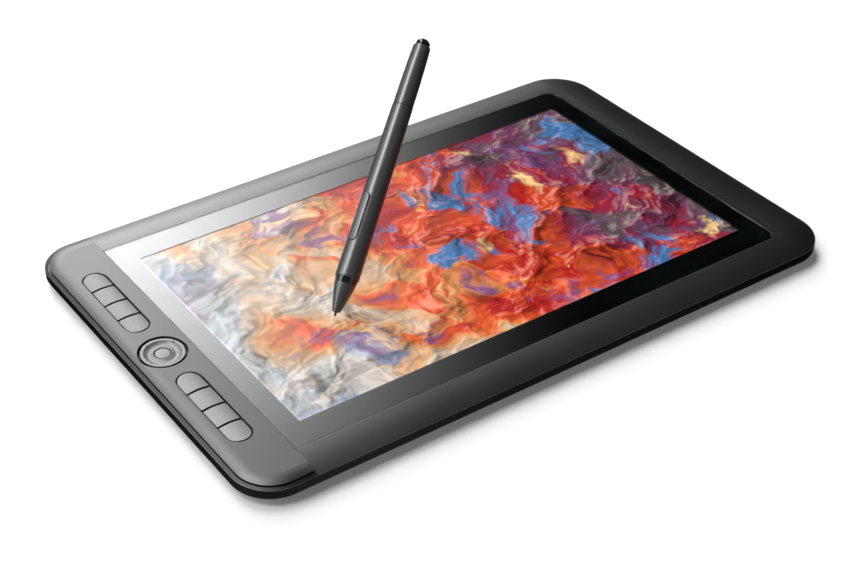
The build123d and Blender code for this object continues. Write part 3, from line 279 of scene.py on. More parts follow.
# Back cover: the same plastic in a coarser, duller texture that hides scratches, held by
# ten screws. It is never polished, so it shows almost no highlight.
cover_plastic = moulded(
    "coarse_cover_plastic", (0.012, 0.0122, 0.0128), (0.035, 0.035, 0.037), 0.58, 1300, 0.35, 0.25, 0.35
)
dress(cover_plastic, "back_cover")

# Rubber feet: four long pads of matte rubber, glued into pockets in the cover. Their soles
# are slightly dusty. The glass lies on a ring of black foam tape.
foot_rubber = moulded(
    "foot_rubber", (0.011, 0.011, 0.0115), (0.05, 0.048, 0.045), 0.82, 900, 0.55, 0.45, 0.5
)
dress(foot_rubber, "rubber_feet")
gasket_foam = moulded(
    "gasket_foam", (0.008, 0.008, 0.008), (0.02, 0.02, 0.02), 0.9, 1500, 0.6, 0.3, 0.3
)
dress(gasket_foam, "glass_gasket")

# Case screws: zinc-black pan heads, each with a six-lobed recess pressed into the head. They
# hold the back cover to the bosses of the front frame.
brushed_metal, metal_in, metal_out = new_group(
    "brushed_metal",
    [
        ("Colour", COLOUR, (0.5, 0.5, 0.5, 1)),
        ("Roughness", FLOAT, 0.35),
        ("Stretch", VECTOR, (40.0, 2200.0, 2200.0)),
        ("Depth", FLOAT, 0.05),
    ],
    [("Colour", COLOUR), ("Roughness", FLOAT), ("Normal", VECTOR)],
)
place = add_node(brushed_metal, "ShaderNodeTexCoord")
drawn = add_node(brushed_metal, "ShaderNodeVectorMath", operation="MULTIPLY")
strokes = add_node(brushed_metal, "ShaderNodeTexNoise", {"Scale": 1.0, "Detail": 4.0})
clouds = add_node(brushed_metal, "ShaderNodeTexNoise", {"Scale": 60.0, "Detail": 4.0})
both = add_node(brushed_metal, "ShaderNodeMath", operation="ADD")
shade = add_node(brushed_metal, "ShaderNodeMapRange", {"From Max": 2.0, "To Min": 0.72, "To Max": 1.24})
toned = add_node(brushed_metal, "ShaderNodeVectorMath", operation="SCALE")
wear = add_node(brushed_metal, "ShaderNodeMapRange", {"From Max": 2.0, "To Min": 0.6, "To Max": 1.5})
worn = add_node(brushed_metal, "ShaderNodeMath", operation="MULTIPLY")
bump = add_node(brushed_metal, "ShaderNodeBump", {"Distance": 0.00005})
for a, b in (
    (place.outputs["Object"], drawn.inputs[0]),
    (metal_in.outputs["Stretch"], drawn.inputs[1]),
    (drawn.outputs["Vector"], strokes.inputs["Vector"]),
    (place.outputs["Object"], clouds.inputs["Vector"]),
    (strokes.outputs["Fac"], both.inputs[0]),
    (clouds.outputs["Fac"], both.inputs[1]),
    (both.outputs[0], shade.inputs["Value"]),
    (both.outputs[0], wear.inputs["Value"]),
    (metal_in.outputs["Colour"], toned.inputs[0]),
    (shade.outputs["Result"], toned.inputs["Scale"]),
    (wear.outputs["Result"], worn.inputs[0]),
    (metal_in.outputs["Roughness"], worn.inputs[1]),
    (strokes.outputs["Fac"], bump.inputs["Height"]),
    (metal_in.outputs["Depth"], bump.inputs["Strength"]),
    (toned.outputs["Vector"], metal_out.inputs["Colour"]),
    (worn.outputs[0], metal_out.inputs["Roughness"]),
    (bump.outputs["Normal"], metal_out.inputs["Normal"]),
):
    brushed_metal.links.new(a, b)


def drawn_metal(name, colour, roughness, stretch, depth):
    """A metal whose tone and sheen follow fine strokes along its longest scale."""
    material = grouped(
        name,
        brushed_metal,
        {"Colour": (*colour, 1), "Roughness": roughness, "Stretch": stretch, "Depth": depth},
    )
    shader_of(material).inputs["Metallic"].default_value = 1.0
    return material


screw_steel = drawn_metal("screw_steel", (0.16, 0.16, 0.165), 0.32, (700, 700, 700), 0.2)
dress(screw_steel, "case_screws")
plated_steel = drawn_metal("plated_steel", (0.56, 0.57, 0.59), 0.26, (600, 600, 600), 0.15)
dress(plated_steel, "chassis_screws", "board_screws", "key_board_screws", "rocker_pin")


def piece(name, points, faces, material, body, smooth=False):
    """A mesh from an array of points and a list of faces, riding on its body."""
    mesh = bpy.data.meshes.new(name)
    mesh.from_pydata(np.asarray(points, float).reshape(-1, 3).tolist(), [], faces)
    mesh.materials.append(material)
    mesh.shade_smooth() if smooth else mesh.shade_flat()
    made = bpy.data.objects.new(name, mesh)
    bpy.context.scene.collection.objects.link(made)
    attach(made, body)
    return made


def grid_faces(rows, columns, closed=True):
    """Quads between neighbouring rows of a grid, running round each row if it is closed."""
    row, column = np.mgrid[0 : rows - 1, 0 : columns if closed else columns - 1]
    beside = (column + 1) % columns
    corners = (
        row * columns + column,
        row * columns + beside,
        (row + 1) * columns + beside,
        (row + 1) * columns + column,
    )
    return np.stack(corners, -1).reshape(-1, 4).tolist()


# A flat black six-lobed shape just under each screw head stands in for its recess: painted shade
recess_painted_shade = moulded(
    "recess_painted_shade", (0.004, 0.004, 0.004), (0.02, 0.02, 0.02), 0.7, 3000, 0.2, 0.2, 0.2
)
head_low, head_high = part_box("case_screws")
head_r = 0.0018
screws_per_side = 5
screw_columns = np.linspace(head_low.x + head_r, head_high.x - head_r, screws_per_side)
screw_rows = np.array([head_low.y + head_r, head_high.y - head_r])
lobe_turn = np.linspace(0, 2 * np.pi, 48, endpoint=False)
recess_r, lobe_depth, recess_gap = 0.00085, 0.00016, 0.00001
lobe_r = recess_r + lobe_depth * np.cos(6 * lobe_turn)
lobe_x, lobe_y = np.meshgrid(screw_columns, screw_rows)
recess = np.stack(
    np.broadcast_arrays(
        lobe_x.ravel()[:, None] + lobe_r * np.cos(lobe_turn),
        lobe_y.ravel()[:, None] - lobe_r * np.sin(lobe_turn),
        head_low.z - recess_gap,
    ),
    -1,
)
piece(
    "screw_recess_shades",
    recess,
    np.arange(recess.shape[0] * lobe_turn.size).reshape(-1, lobe_turn.size).tolist(),
    recess_painted_shade,
    "tablet",
)

# Screen stack under the glass: an aluminium chassis, tray and shield, a clear light guide
# with its light bar, and the green pen-sensing board behind them. The other boards take the
# same finish, and the flat cables are amber film.
rolled_aluminium = drawn_metal("rolled_aluminium", (0.62, 0.63, 0.64), 0.42, (30, 1600, 1600), 0.1)
dress(rolled_aluminium, "backlight_tray", "shield_plate", "screen_chassis")
guide_acrylic = moulded(
    "guide_acrylic", (0.78, 0.8, 0.82), (0.95, 0.95, 0.95), 0.12, 800, 0.05, 0.6, 0.05
)
shader_of(guide_acrylic).inputs["Transmission Weight"].default_value = 0.6
dress(guide_acrylic, "light_guide")

board_tracks, board_in, board_out = new_group(
    "board_tracks",
    [
        ("Mask Colour", COLOUR, (0.01, 0.12, 0.05, 1)),
        ("Track Colour", COLOUR, (0.03, 0.22, 0.1, 1)),
        ("Scale", FLOAT, 260.0),
    ],
    [("Colour", COLOUR), ("Roughness", FLOAT), ("Normal", VECTOR)],
)
place = add_node(board_tracks, "ShaderNodeTexCoord")
steps = add_node(board_tracks, "ShaderNodeTexVoronoi", {"Randomness": 0.85}, distance="CHEBYCHEV")
lines = add_node(board_tracks, "ShaderNodeTexVoronoi", distance="MANHATTAN", feature="DISTANCE_TO_EDGE")
edge = add_node(board_tracks, "ShaderNodeMapRange", {"From Min": 0.03, "From Max": 0.06})
tint = add_node(board_tracks, "ShaderNodeMix", data_type="RGBA")
gloss = add_node(board_tracks, "ShaderNodeMapRange", {"To Min": 0.22, "To Max": 0.4})
bump = add_node(board_tracks, "ShaderNodeBump", {"Distance": 0.00005, "Strength": 0.3})
for a, b in (
    (place.outputs["Object"], steps.inputs["Vector"]),
    (place.outputs["Object"], lines.inputs["Vector"]),
    (board_in.outputs["Scale"], steps.inputs["Scale"]),
    (board_in.outputs["Scale"], lines.inputs["Scale"]),
    (lines.outputs["Distance"], edge.inputs["Value"]),
    (edge.outputs["Result"], tint.inputs["Factor"]),
    (board_in.outputs["Track Colour"], tint.inputs["A"]),
    (board_in.outputs["Mask Colour"], tint.inputs["B"]),
    (steps.outputs["Distance"], gloss.inputs["Value"]),
    (edge.outputs["Result"], bump.inputs["Height"]),
    (tint.outputs["Result"], board_out.inputs["Colour"]),
    (gloss.outputs["Result"], board_out.inputs["Roughness"]),
    (bump.outputs["Normal"], board_out.inputs["Normal"]),
):
    board_tracks.links.new(a, b)


def printed(name, mask_colour, track_colour, scale):
    """A board or film: lacquer over a net of tracks, glossier where the lacquer lies flat."""
    return grouped(
        name,
        board_tracks,
        {"Mask Colour": (*mask_colour, 1), "Track Colour": (*track_colour, 1), "Scale": scale},
    )


green_board = printed("green_board", (0.006, 0.1, 0.045), (0.02, 0.2, 0.09), 260)
dress(green_board, "sensing_board", "main_board", "port_board", "key_board", "pen_board")
amber_film = printed("amber_film", (0.42, 0.2, 0.05), (0.62, 0.33, 0.1), 420)
dress(amber_film, "screen_flex", "key_flex", "port_flex")
chip_epoxy = moulded(
    "chip_epoxy", (0.012, 0.012, 0.013), (0.06, 0.06, 0.06), 0.5, 3200, 0.3, 0.3, 0.2
)
dress(
    chip_epoxy,
    "main_chips",
    "power_switch",
    "key_switches",
    "wheel_encoder",
    "light_bar",
    "rocker_switches",
    "pressure_sensor",
)

# Sockets: nickel-plated steel shells with a tongue, set flush in the back wall beside the
# power button.
nickel_shell = drawn_metal("nickel_shell", (0.62, 0.61, 0.58), 0.24, (900, 300, 900), 0.1)
dress(nickel_shell, "usb_socket", "video_socket")

# Screen cell: liquid-crystal glass. Its lit area shows a generic study of coloured storm
# clouds, made from noise alone, and round it the cell is black.
active_low, active_high = np.array((-0.14278, -0.08262)), np.array((0.15098, 0.08262))
screen_material, screen_tree, screen_shader = new_material("lit_screen")


def screen_node(kind, inputs=None, **settings):
    """A node in the screen's own tree."""
    return add_node(screen_tree, kind, inputs, **settings)


def join(a, b):
    """A link in the screen's own tree."""
    screen_tree.links.new(a, b)


def screen_math(operation, *values, clamp=False):
    """One sum in the screen's own tree."""
    return maths(screen_tree, operation, *values, clamp=clamp)


def screen_noise(vector, scale, detail, roughness, distortion=0.0):
    """Fractal noise on a vector, given back as its node."""
    noise = screen_node(
        "ShaderNodeTexNoise",
        {"Scale": scale, "Detail": detail, "Roughness": roughness, "Distortion": distortion},
        noise_dimensions="2D",
    )
    join(vector, noise.inputs["Vector"])
    return noise


def shifted(vector, offset):
    """A vector moved by a fixed amount."""
    move = screen_node("ShaderNodeVectorMath", {1: offset}, operation="ADD")
    join(vector, move.inputs[0])
    return move.outputs["Vector"]


screen_place = screen_node("ShaderNodeTexCoord").outputs["Object"]
flat_place = screen_node("ShaderNodeVectorMath", {1: (10.0, 10.0, 0.0)}, operation="MULTIPLY")
join(screen_place, flat_place.inputs[0])
cloud_place = flat_place.outputs["Vector"]
# The place is pushed about by slow noise, so the clouds roll instead of lying in rows
push = screen_noise(cloud_place, 2.1, 3.0, 0.5)
push_swing = screen_node("ShaderNodeVectorMath", {1: (0.5, 0.5, 0.5)}, operation="SUBTRACT")
join(push.outputs["Color"], push_swing.inputs[0])
push_part = screen_node("ShaderNodeVectorMath", {"Scale": 0.42}, operation="SCALE")
join(push_swing.outputs["Vector"], push_part.inputs[0])
rolled = screen_node("ShaderNodeVectorMath", operation="ADD")
join(cloud_place, rolled.inputs[0])
join(push_part.outputs["Vector"], rolled.inputs[1])
rolled_place = rolled.outputs["Vector"]


def puffs(vector, scale):
    """Height of billowing puffs: domes on random cells, with smaller domes on their backs."""
    cells = screen_node(
        "ShaderNodeTexVoronoi",
        {"Scale": scale, "Detail": 3.5, "Roughness": 0.44, "Lacunarity": 2.2, "Smoothness": 0.3},
        voronoi_dimensions="2D",
        feature="SMOOTH_F1",
        normalize=True,
    )
    join(vector, cells.inputs["Vector"])
    return screen_math("MULTIPLY", cells.outputs["Distance"], cells.outputs["Distance"])


hollow = puffs(rolled_place, 3.1)
hollow_lit_side = puffs(shifted(rolled_place, (-0.011, 0.015, 0.0)), 3.1)
fall_to_light = screen_math("SUBTRACT", hollow_lit_side, hollow)
relief = screen_math("MULTIPLY_ADD", fall_to_light, -11.0, 0.5, clamp=True)
# Each puff keeps a tone of its own within the run of hues
tone_cells = screen_node("ShaderNodeTexVoronoi", {"Scale": 3.1}, voronoi_dimensions="2D")
join(rolled_place, tone_cells.inputs["Vector"])
tone_axes = screen_node("ShaderNodeSeparateXYZ")
join(tone_cells.outputs["Color"], tone_axes.inputs[0])
fine_cells = screen_node("ShaderNodeTexVoronoi", {"Scale": 7.3}, voronoi_dimensions="2D")
join(rolled_place, fine_cells.inputs["Vector"])
fine_axes = screen_node("ShaderNodeSeparateXYZ")
join(fine_cells.outputs["Color"], fine_axes.inputs[0])
# Hue runs from pale mist at the left, through warm cloud, to dusk at the right
across = screen_node("ShaderNodeSeparateXYZ")
join(cloud_place, across.inputs[0])
run = screen_math("MULTIPLY_ADD", across.outputs["X"], 0.29, 0.385)
drift = screen_noise(rolled_place, 1.35, 4.0, 0.5)
drift_part = screen_math("MULTIPLY_ADD", drift.outputs["Fac"], 0.8, -0.4)
own_part = screen_math("MULTIPLY_ADD", tone_axes.outputs["X"], 0.2, -0.1)
fine_part = screen_math("MULTIPLY_ADD", fine_axes.outputs["X"], 0.1, -0.05)
hue_place = screen_math(
    "ADD", screen_math("ADD", run, drift_part), screen_math("ADD", own_part, fine_part)
)
cloud_ramp = screen_node("ShaderNodeValToRGB")
stops = (
    (0.0, (0.5, 0.52, 0.55)),
    (0.1, (0.66, 0.6, 0.54)),
    (0.2, (0.66, 0.44, 0.28)),
    (0.28, (0.8, 0.33, 0.1)),
    (0.35, (0.85, 0.1, 0.02)),
    (0.46, (0.5, 0.012, 0.015)),
    (0.54, (0.8, 0.1, 0.025)),
    (0.62, (0.38, 0.02, 0.045)),
    (0.7, (0.2, 0.05, 0.12)),
    (0.79, (0.16, 0.1, 0.12)),
    (0.9, (0.085, 0.06, 0.065)),
)
ramp = cloud_ramp.color_ramp
for index, (at, colour) in enumerate(stops):
    stop = ramp.elements[index] if index < 2 else ramp.elements.new(at)
    stop.position = at
    stop.color = (*colour, 1)
join(hue_place, cloud_ramp.inputs["Fac"])


def tinted(colour, tint_colour, factor):
    """A colour socket turned towards a tint by a mask."""
    mix = screen_node("ShaderNodeMix", data_type="RGBA")
    join(factor, mix.inputs["Factor"])
    join(colour, mix.inputs["A"])
    mix.inputs["B"].default_value = (*tint_colour, 1)
    return mix.outputs["Result"]


def patch(scale, offset, low, high):
    """A mask of torn patches: slow noise between two levels."""
    noise = screen_noise(shifted(rolled_place, offset), scale, 6.0, 0.62)
    mask = screen_node(
        "ShaderNodeMapRange", {"From Min": low, "From Max": high}, interpolation_type="SMOOTHSTEP"
    )
    join(noise.outputs["Fac"], mask.inputs["Value"])
    return mask.outputs["Result"]


cloud_colour = cloud_ramp.outputs["Color"]
# The patches are quieter in the mist at the left
quiet = screen_node(
    "ShaderNodeMapRange", {"From Min": -1.3, "From Max": -0.4, "To Min": 0.35, "To Max": 1.0}
)
join(across.outputs["X"], quiet.inputs["Value"])
for patch_colour, patch_scale, patch_offset, patch_low, patch_high in (
    ((0.08, 0.22, 0.5), 2.1, (3.1, 1.7, 0.0), 0.57, 0.66),
    ((0.26, 0.09, 0.24), 2.6, (7.3, 4.1, 0.0), 0.58, 0.68),
    ((0.95, 0.6, 0.25), 3.1, (1.3, 9.2, 0.0), 0.62, 0.72),
):
    patch_mask = screen_math(
        "MULTIPLY", patch(patch_scale, patch_offset, patch_low, patch_high), quiet.outputs["Result"]
    )
    cloud_colour = tinted(cloud_colour, patch_colour, patch_mask)
# Relief: shaded sides go down in tone, lit sides go up towards a warm white, creases darken
shaded = screen_node("ShaderNodeVectorMath", operation="SCALE")
join(cloud_colour, shaded.inputs[0])
crease = screen_node(
    "ShaderNodeMapRange", {"From Min": 0.1, "From Max": 0.45, "To Min": 1.0, "To Max": 0.45}
)
join(hollow, crease.inputs["Value"])
shade_level = screen_math(
    "MULTIPLY", screen_math("MULTIPLY_ADD", relief, 1.45, 0.25), crease.outputs["Result"]
)
join(shade_level, shaded.inputs["Scale"])
lit = screen_node("ShaderNodeMapRange", {"From Min": 0.6, "From Max": 1.0, "To Max": 0.3})
join(relief, lit.inputs["Value"])
lit_left = screen_node(
    "ShaderNodeMapRange", {"From Min": -1.4, "From Max": -0.1, "To Min": 0.3, "To Max": 1.0}
)
join(across.outputs["X"], lit_left.inputs["Value"])
lit_part = screen_math("MULTIPLY", lit.outputs["Result"], lit_left.outputs["Result"])
clouds_done = tinted(shaded.outputs["Vector"], (0.98, 0.86, 0.72), lit_part)
# Only the lit area glows: a mask that is one inside its four sides and just under the border
active_mid, active_half = (active_low + active_high) / 2, (active_high - active_low) / 2
centred = screen_node("ShaderNodeVectorMath", {1: (-active_mid[0], -active_mid[1], 0.0)}, operation="ADD")
join(screen_place, centred.inputs[0])
beyond = screen_node("ShaderNodeVectorMath", operation="ABSOLUTE")
join(centred.outputs["Vector"], beyond.inputs[0])
sides = screen_node("ShaderNodeSeparateXYZ")
join(beyond.outputs["Vector"], sides.inputs[0])
cell_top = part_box("screen_cell")[1].z
glow_margin = 0.0005
heights = screen_node("ShaderNodeSeparateXYZ")
join(screen_place, heights.inputs[0])
inside = screen_math(
    "MULTIPLY",
    screen_math("LESS_THAN", sides.outputs["X"], float(active_half[0]) + glow_margin),
    screen_math("LESS_THAN", sides.outputs["Y"], float(active_half[1]) + glow_margin),
)
on_top = screen_math("GREATER_THAN", heights.outputs["Z"], cell_top - 0.0002)
glowing = screen_math("MULTIPLY", inside, on_top)
glow = screen_node("ShaderNodeMix", {"A": (0.0, 0.0, 0.0, 1)}, data_type="RGBA")
join(glowing, glow.inputs["Factor"])
join(clouds_done, glow.inputs["B"])
join(glow.outputs["Result"], screen_shader.inputs["Emission Color"])
cell_grain = place_group(
    screen_tree,
    moulded_grain,
    {"Colour": (0.004, 0.0045, 0.005, 1), "Roughness": 0.25, "Speck Share": 0.1, "Grain Depth": 0.02},
)
join(cell_grain.outputs["Colour"], screen_shader.inputs["Base Color"])
join(cell_grain.outputs["Roughness"], screen_shader.inputs["Roughness"])
screen_shader.inputs["Emission Strength"].default_value = 0.95
screen_shader.inputs["Specular IOR Level"].default_value = 0.0
dress(screen_material, "screen_cell")

# Cover glass: one sheet of chemically hardened glass, flush with the frame, with a ground
# edge and a coated middle. A black border is printed on its underside round the lit area.
glass_low, glass_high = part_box("cover_glass")
glass_air = 0.00005
arc_points = 12
outline_points = 4 * arc_points
glass_seam_r = 0.0006


def glass_outline(inset):
    """The sheet's plan outline, set in all round: quarter turns, the two at the seam tighter."""
    low_x, low_y = glass_low.x + inset, glass_low.y + inset
    high_x, high_y = glass_high.x - inset, glass_high.y - inset
    seam_r, far_r = max(glass_seam_r - inset, 0.0001), glass_far_r - inset
    turns = np.linspace(0, np.pi / 2, arc_points)
    arcs = []
    for x, y, side_x, side_y, r, start in (
        (high_x, high_y, -1, -1, far_r, 0),
        (low_x, high_y, 1, -1, seam_r, np.pi / 2),
        (low_x, low_y, 1, 1, seam_r, np.pi),
        (high_x, low_y, -1, 1, far_r, 3 * np.pi / 2),
    ):
        arc_x = x + side_x * r + r * np.cos(start + turns)
        arc_y = y + side_y * r + r * np.sin(start + turns)
        arcs.append(np.stack((arc_x, arc_y), -1))
    return np.concatenate(arcs)


def carried(sections):
    """The sheet's outline carried up through (inset, height) pairs."""
    return np.concatenate(
        [np.column_stack((glass_outline(inset), np.full(outline_points, z))) for inset, z in sections]
    )


glass_sections = (
    (0.00012, glass_low.z + glass_air),
    (0.00002, glass_low.z + glass_air + 0.0001),
    (0.00002, glass_high.z - 0.00003),
    (0.00004, glass_high.z),
)
lit_corners = np.array(
    (
        (active_high[0], active_high[1]),
        (active_low[0], active_high[1]),
        (active_low[0], active_low[1]),
        (active_high[0], active_low[1]),
    )
)
# The coating stops just inside the lit area, so the border's inner edge is never seen through it
coating_inset = 0.0008
coated_corners = lit_corners - coating_inset * np.array(((1, 1), (-1, 1), (-1, -1), (1, -1)))
glass_rows = len(glass_sections)
glass_points = np.concatenate(
    (
        carried(glass_sections),
        np.column_stack((coated_corners, np.full(4, glass_sections[0][1]))),
        np.column_stack((coated_corners, np.full(4, glass_sections[-1][1]))),
    )
)


def framed_face(outer, inner):
    """A flat face in two parts: a ring from an outline to four corners, and the middle."""
    ring = []
    for corner in range(4):
        start = outer + arc_points * corner
        end = start + arc_points - 1
        ring += [(point, point + 1, inner + corner) for point in range(start, end)]
        after = (corner + 1) % 4
        ring.append((end, outer + arc_points * after, inner + after, inner + corner))
    return ring + [(inner, inner + 1, inner + 2, inner + 3)]


corner_start = outline_points * glass_rows
under_faces = [face[::-1] for face in framed_face(0, corner_start)]
over_faces = framed_face(corner_start - outline_points, corner_start + 4)
glass_faces = grid_faces(glass_rows, outline_points) + under_faces + over_faces


def clear_glass(name, bending):
    """Polished glass with faint smudges that dull and tint it, for one refractive index."""
    material, tree, shader = new_material(name)
    shader.inputs["Transmission Weight"].default_value = 1.0
    shader.inputs["IOR"].default_value = bending
    smudge_place = add_node(tree, "ShaderNodeTexCoord")
    smudge = add_node(tree, "ShaderNodeTexNoise", {"Scale": 38.0, "Detail": 6.0, "Roughness": 0.7})
    smudge_rough = add_node(
        tree, "ShaderNodeMapRange", {"From Min": 0.45, "From Max": 0.8, "To Min": 0.0, "To Max": 0.05}
    )
    tint = add_node(tree, "ShaderNodeMix", data_type="RGBA")
    tint.inputs["A"].default_value = (1.0, 1.0, 1.0, 1)
    tint.inputs["B"].default_value = (0.955, 0.985, 0.97, 1)
    tree.links.new(smudge_place.outputs["Object"], smudge.inputs["Vector"])
    tree.links.new(smudge.outputs["Fac"], smudge_rough.inputs["Value"])
    tree.links.new(smudge_rough.outputs["Result"], shader.inputs["Roughness"])
    tree.links.new(smudge.outputs["Fac"], tint.inputs["Factor"])
    tree.links.new(tint.outputs["Result"], shader.inputs["Base Color"])
    return material


hard_glass = clear_glass("hardened_glass", 1.5)
# Over the lit area both faces carry a coating that cuts the glare
coated_glass = clear_glass("coated_glass", 1.22)
sheet_glass = piece("sheet_glass", glass_points, glass_faces, hard_glass, "tablet")
sheet_glass.data.materials.append(coated_glass)
glass_parts = np.zeros(len(glass_faces), dtype=np.int32)
glass_parts[len(glass_faces) - 1] = 1
glass_parts[len(glass_faces) - len(over_faces) - 1] = 1
sheet_glass.data.polygons.foreach_set("material_index", glass_parts)
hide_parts("cover_glass")

edge_film = 0.00001
border_inner = np.repeat(lit_corners, arc_points, axis=0)
under_glass_z = glass_low.z + glass_air / 2
border_sections = (
    (glass_seam_r, under_glass_z),
    (-edge_film, under_glass_z),
    (-edge_film, glass_high.z - 2 * edge_film),
)
border_points = np.concatenate(
    (np.column_stack((border_inner, np.full(outline_points, under_glass_z))), carried(border_sections))
)
border_ink = moulded(
    "border_ink", (0.0036, 0.0052, 0.0052), (0.007, 0.009, 0.009), 0.6, 1800, 0.05, 0.2, 0.2
)
shader_of(border_ink).inputs["Specular IOR Level"].default_value = 0.0
# Each face joins the lit area's corner to the outline and is wound to face the glass
border_faces = [face[::-1] for face in grid_faces(len(border_sections) + 1, outline_points)]
piece("printed_border", border_points, border_faces, border_ink, "tablet")

# Keys and wheel: caps in a fine silver-grey metallic lacquer. Their walls, their edges and the rings
# round the wheel and the button are painted black as painted shade, and the wheel's four dimples are
# painted dark. The power button is plain grey plastic.
silver_top_shade, top_in, top_out = new_group(
    "silver_top_shade",
    [
        ("Centre", VECTOR, (0.0, 0.0, 0.0)),
        ("Crown Fall", FLOAT, 0.0),
        ("Lip", FLOAT, 0.002),
        ("Inner Radius", FLOAT, -1.0),
        ("Outer Radius", FLOAT, 1.0),
        ("Dot Circle", FLOAT, 1.0),
        ("Dot Turn", FLOAT, 0.0),
        ("Dot Radius", FLOAT, 0.00055),
    ],
    [("Silver Top", FLOAT)],
)


def top_math(operation, *values):
    """One sum in the group that says where the silver shows."""
    return maths(silver_top_shade, operation, *values)


place = add_node(silver_top_shade, "ShaderNodeTexCoord")
from_centre = add_node(silver_top_shade, "ShaderNodeVectorMath", operation="SUBTRACT")
silver_top_shade.links.new(place.outputs["Object"], from_centre.inputs[0])
silver_top_shade.links.new(top_in.outputs["Centre"], from_centre.inputs[1])
offset = add_node(silver_top_shade, "ShaderNodeSeparateXYZ")
silver_top_shade.links.new(from_centre.outputs["Vector"], offset.inputs[0])
off_x, off_y, off_z = offset.outputs["X"], offset.outputs["Y"], offset.outputs["Z"]
# The crown falls with the square of the distance from the middle line
crown_z = top_math("MULTIPLY", top_math("MULTIPLY", off_x, off_x), top_in.outputs["Crown Fall"])
above = top_math("ADD", top_math("ADD", off_z, crown_z), top_in.outputs["Lip"])
square_far = top_math("ADD", top_math("MULTIPLY", off_x, off_x), top_math("MULTIPLY", off_y, off_y))
far = top_math("SQRT", square_far)
in_ring = top_math(
    "MULTIPLY",
    top_math("GREATER_THAN", far, top_in.outputs["Inner Radius"]),
    top_math("LESS_THAN", far, top_in.outputs["Outer Radius"]),
)
# Four dots a quarter turn apart: the angle is folded into one quarter
turned = top_math("SUBTRACT", top_math("ARCTAN2", off_y, off_x), top_in.outputs["Dot Turn"])
turned = top_math("ADD", turned, 2.25 * math.pi)
folded = top_math("SUBTRACT", top_math("MODULO", turned, math.pi / 2), math.pi / 4)
dot_x = top_math("MULTIPLY", far, top_math("COSINE", folded))
dot_x = top_math("SUBTRACT", dot_x, top_in.outputs["Dot Circle"])
dot_y = top_math("MULTIPLY", far, top_math("SINE", folded))
square_dot = top_math("ADD", top_math("MULTIPLY", dot_x, dot_x), top_math("MULTIPLY", dot_y, dot_y))
dot_far = top_math("SQRT", square_dot)
off_dot = top_math("GREATER_THAN", dot_far, top_in.outputs["Dot Radius"])
# Silver only on the top; the walls and edge rings get black painted shade, and the dimples are painted
# dark
on_top = top_math("GREATER_THAN", above, 0.0)
on_top = top_math("MULTIPLY", on_top, top_math("MULTIPLY", in_ring, off_dot))
silver_top_shade.links.new(on_top, top_out.inputs["Silver Top"])


def lacquered(name, colour, shape):
    """Caps with a silver lacquer on top and black paint elsewhere, painted shade on walls and edges: the
    group says where the silver shows.
    """
    material = moulded(name, colour, (0.42, 0.42, 0.425), 0.42, 3000, 0.08, 0.3, 0.1)
    tree, shader = material.node_tree, shader_of(material)
    reach = place_group(tree, silver_top_shade, shape)
    # Black where the group is zero: painted shade on the walls and edges
    shade_paint = add_node(tree, "ShaderNodeMix", {"A": (0.0012, 0.0012, 0.0013, 1)}, data_type="RGBA")
    tree.links.new(reach.outputs["Silver Top"], shade_paint.inputs["Factor"])
    tree.links.new(shader.inputs["Base Color"].links[0].from_socket, shade_paint.inputs["B"])
    tree.links.new(shade_paint.outputs["Result"], shader.inputs["Base Color"])
    silver = maths(tree, "MULTIPLY", reach.outputs["Silver Top"], 0.2)
    tree.links.new(silver, shader.inputs["Metallic"])
    return material


key_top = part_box("key_1")[1].z
wheel_low, wheel_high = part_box("wheel")
button_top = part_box("wheel_button")[1].z
wheel_mid = (wheel_low + wheel_high) / 2
controls_x, controls_y = wheel_mid.x, wheel_mid.y
key_half, key_fall = 0.00645, 0.0007
key_lacquer_and_shade = lacquered(
    "key_lacquer_and_shade",
    (0.185, 0.186, 0.189),
    {
        "Centre": (controls_x, 0.0, key_top),
        "Crown Fall": key_fall / key_half**2,
        "Lip": 0.00003,
    },
)
dress(key_lacquer_and_shade, *(f"key_{number}" for number in range(1, 9)))
# The wheel's inner and outer edge rings are painted black as shade in the gaps round it
wheel_lacquer_and_shade = lacquered(
    "wheel_lacquer_and_shade",
    (0.205, 0.207, 0.21),
    {
        "Centre": (controls_x, controls_y, wheel_high.z),
        "Inner Radius": 0.0048,
        "Outer Radius": 0.0116,
        "Dot Circle": 0.0101,
        "Dot Turn": math.radians(27.5),
    },
)
dress(wheel_lacquer_and_shade, "wheel")
button_lacquer_and_shade = lacquered(
    "button_lacquer_and_shade",
    (0.215, 0.217, 0.22),
    {"Centre": (controls_x, controls_y, button_top), "Outer Radius": 0.00392},
)
dress(button_lacquer_and_shade, "wheel_button")
power_plastic = moulded(
    "power_button_plastic", (0.05, 0.051, 0.053), (0.12, 0.12, 0.122), 0.4, 3000, 0.08, 0.3, 0.12
)
dress(power_plastic, "power_button")

# Pen: nose, barrel and tail in one satin gunmetal lacquer, glossy windows in the band, a
# grey rocker and a polished end cap. The nib is hard acetal.
pen_plastic = moulded(
    "satin_gunmetal_lacquer", (0.15, 0.1515, 0.153), (0.2, 0.201, 0.203), 0.33, 3200, 0.06, 0.2, 0.15
)
pen_shader = shader_of(pen_plastic)
pen_shader.inputs["Metallic"].default_value = 0.7
pen_tree = pen_plastic.node_tree
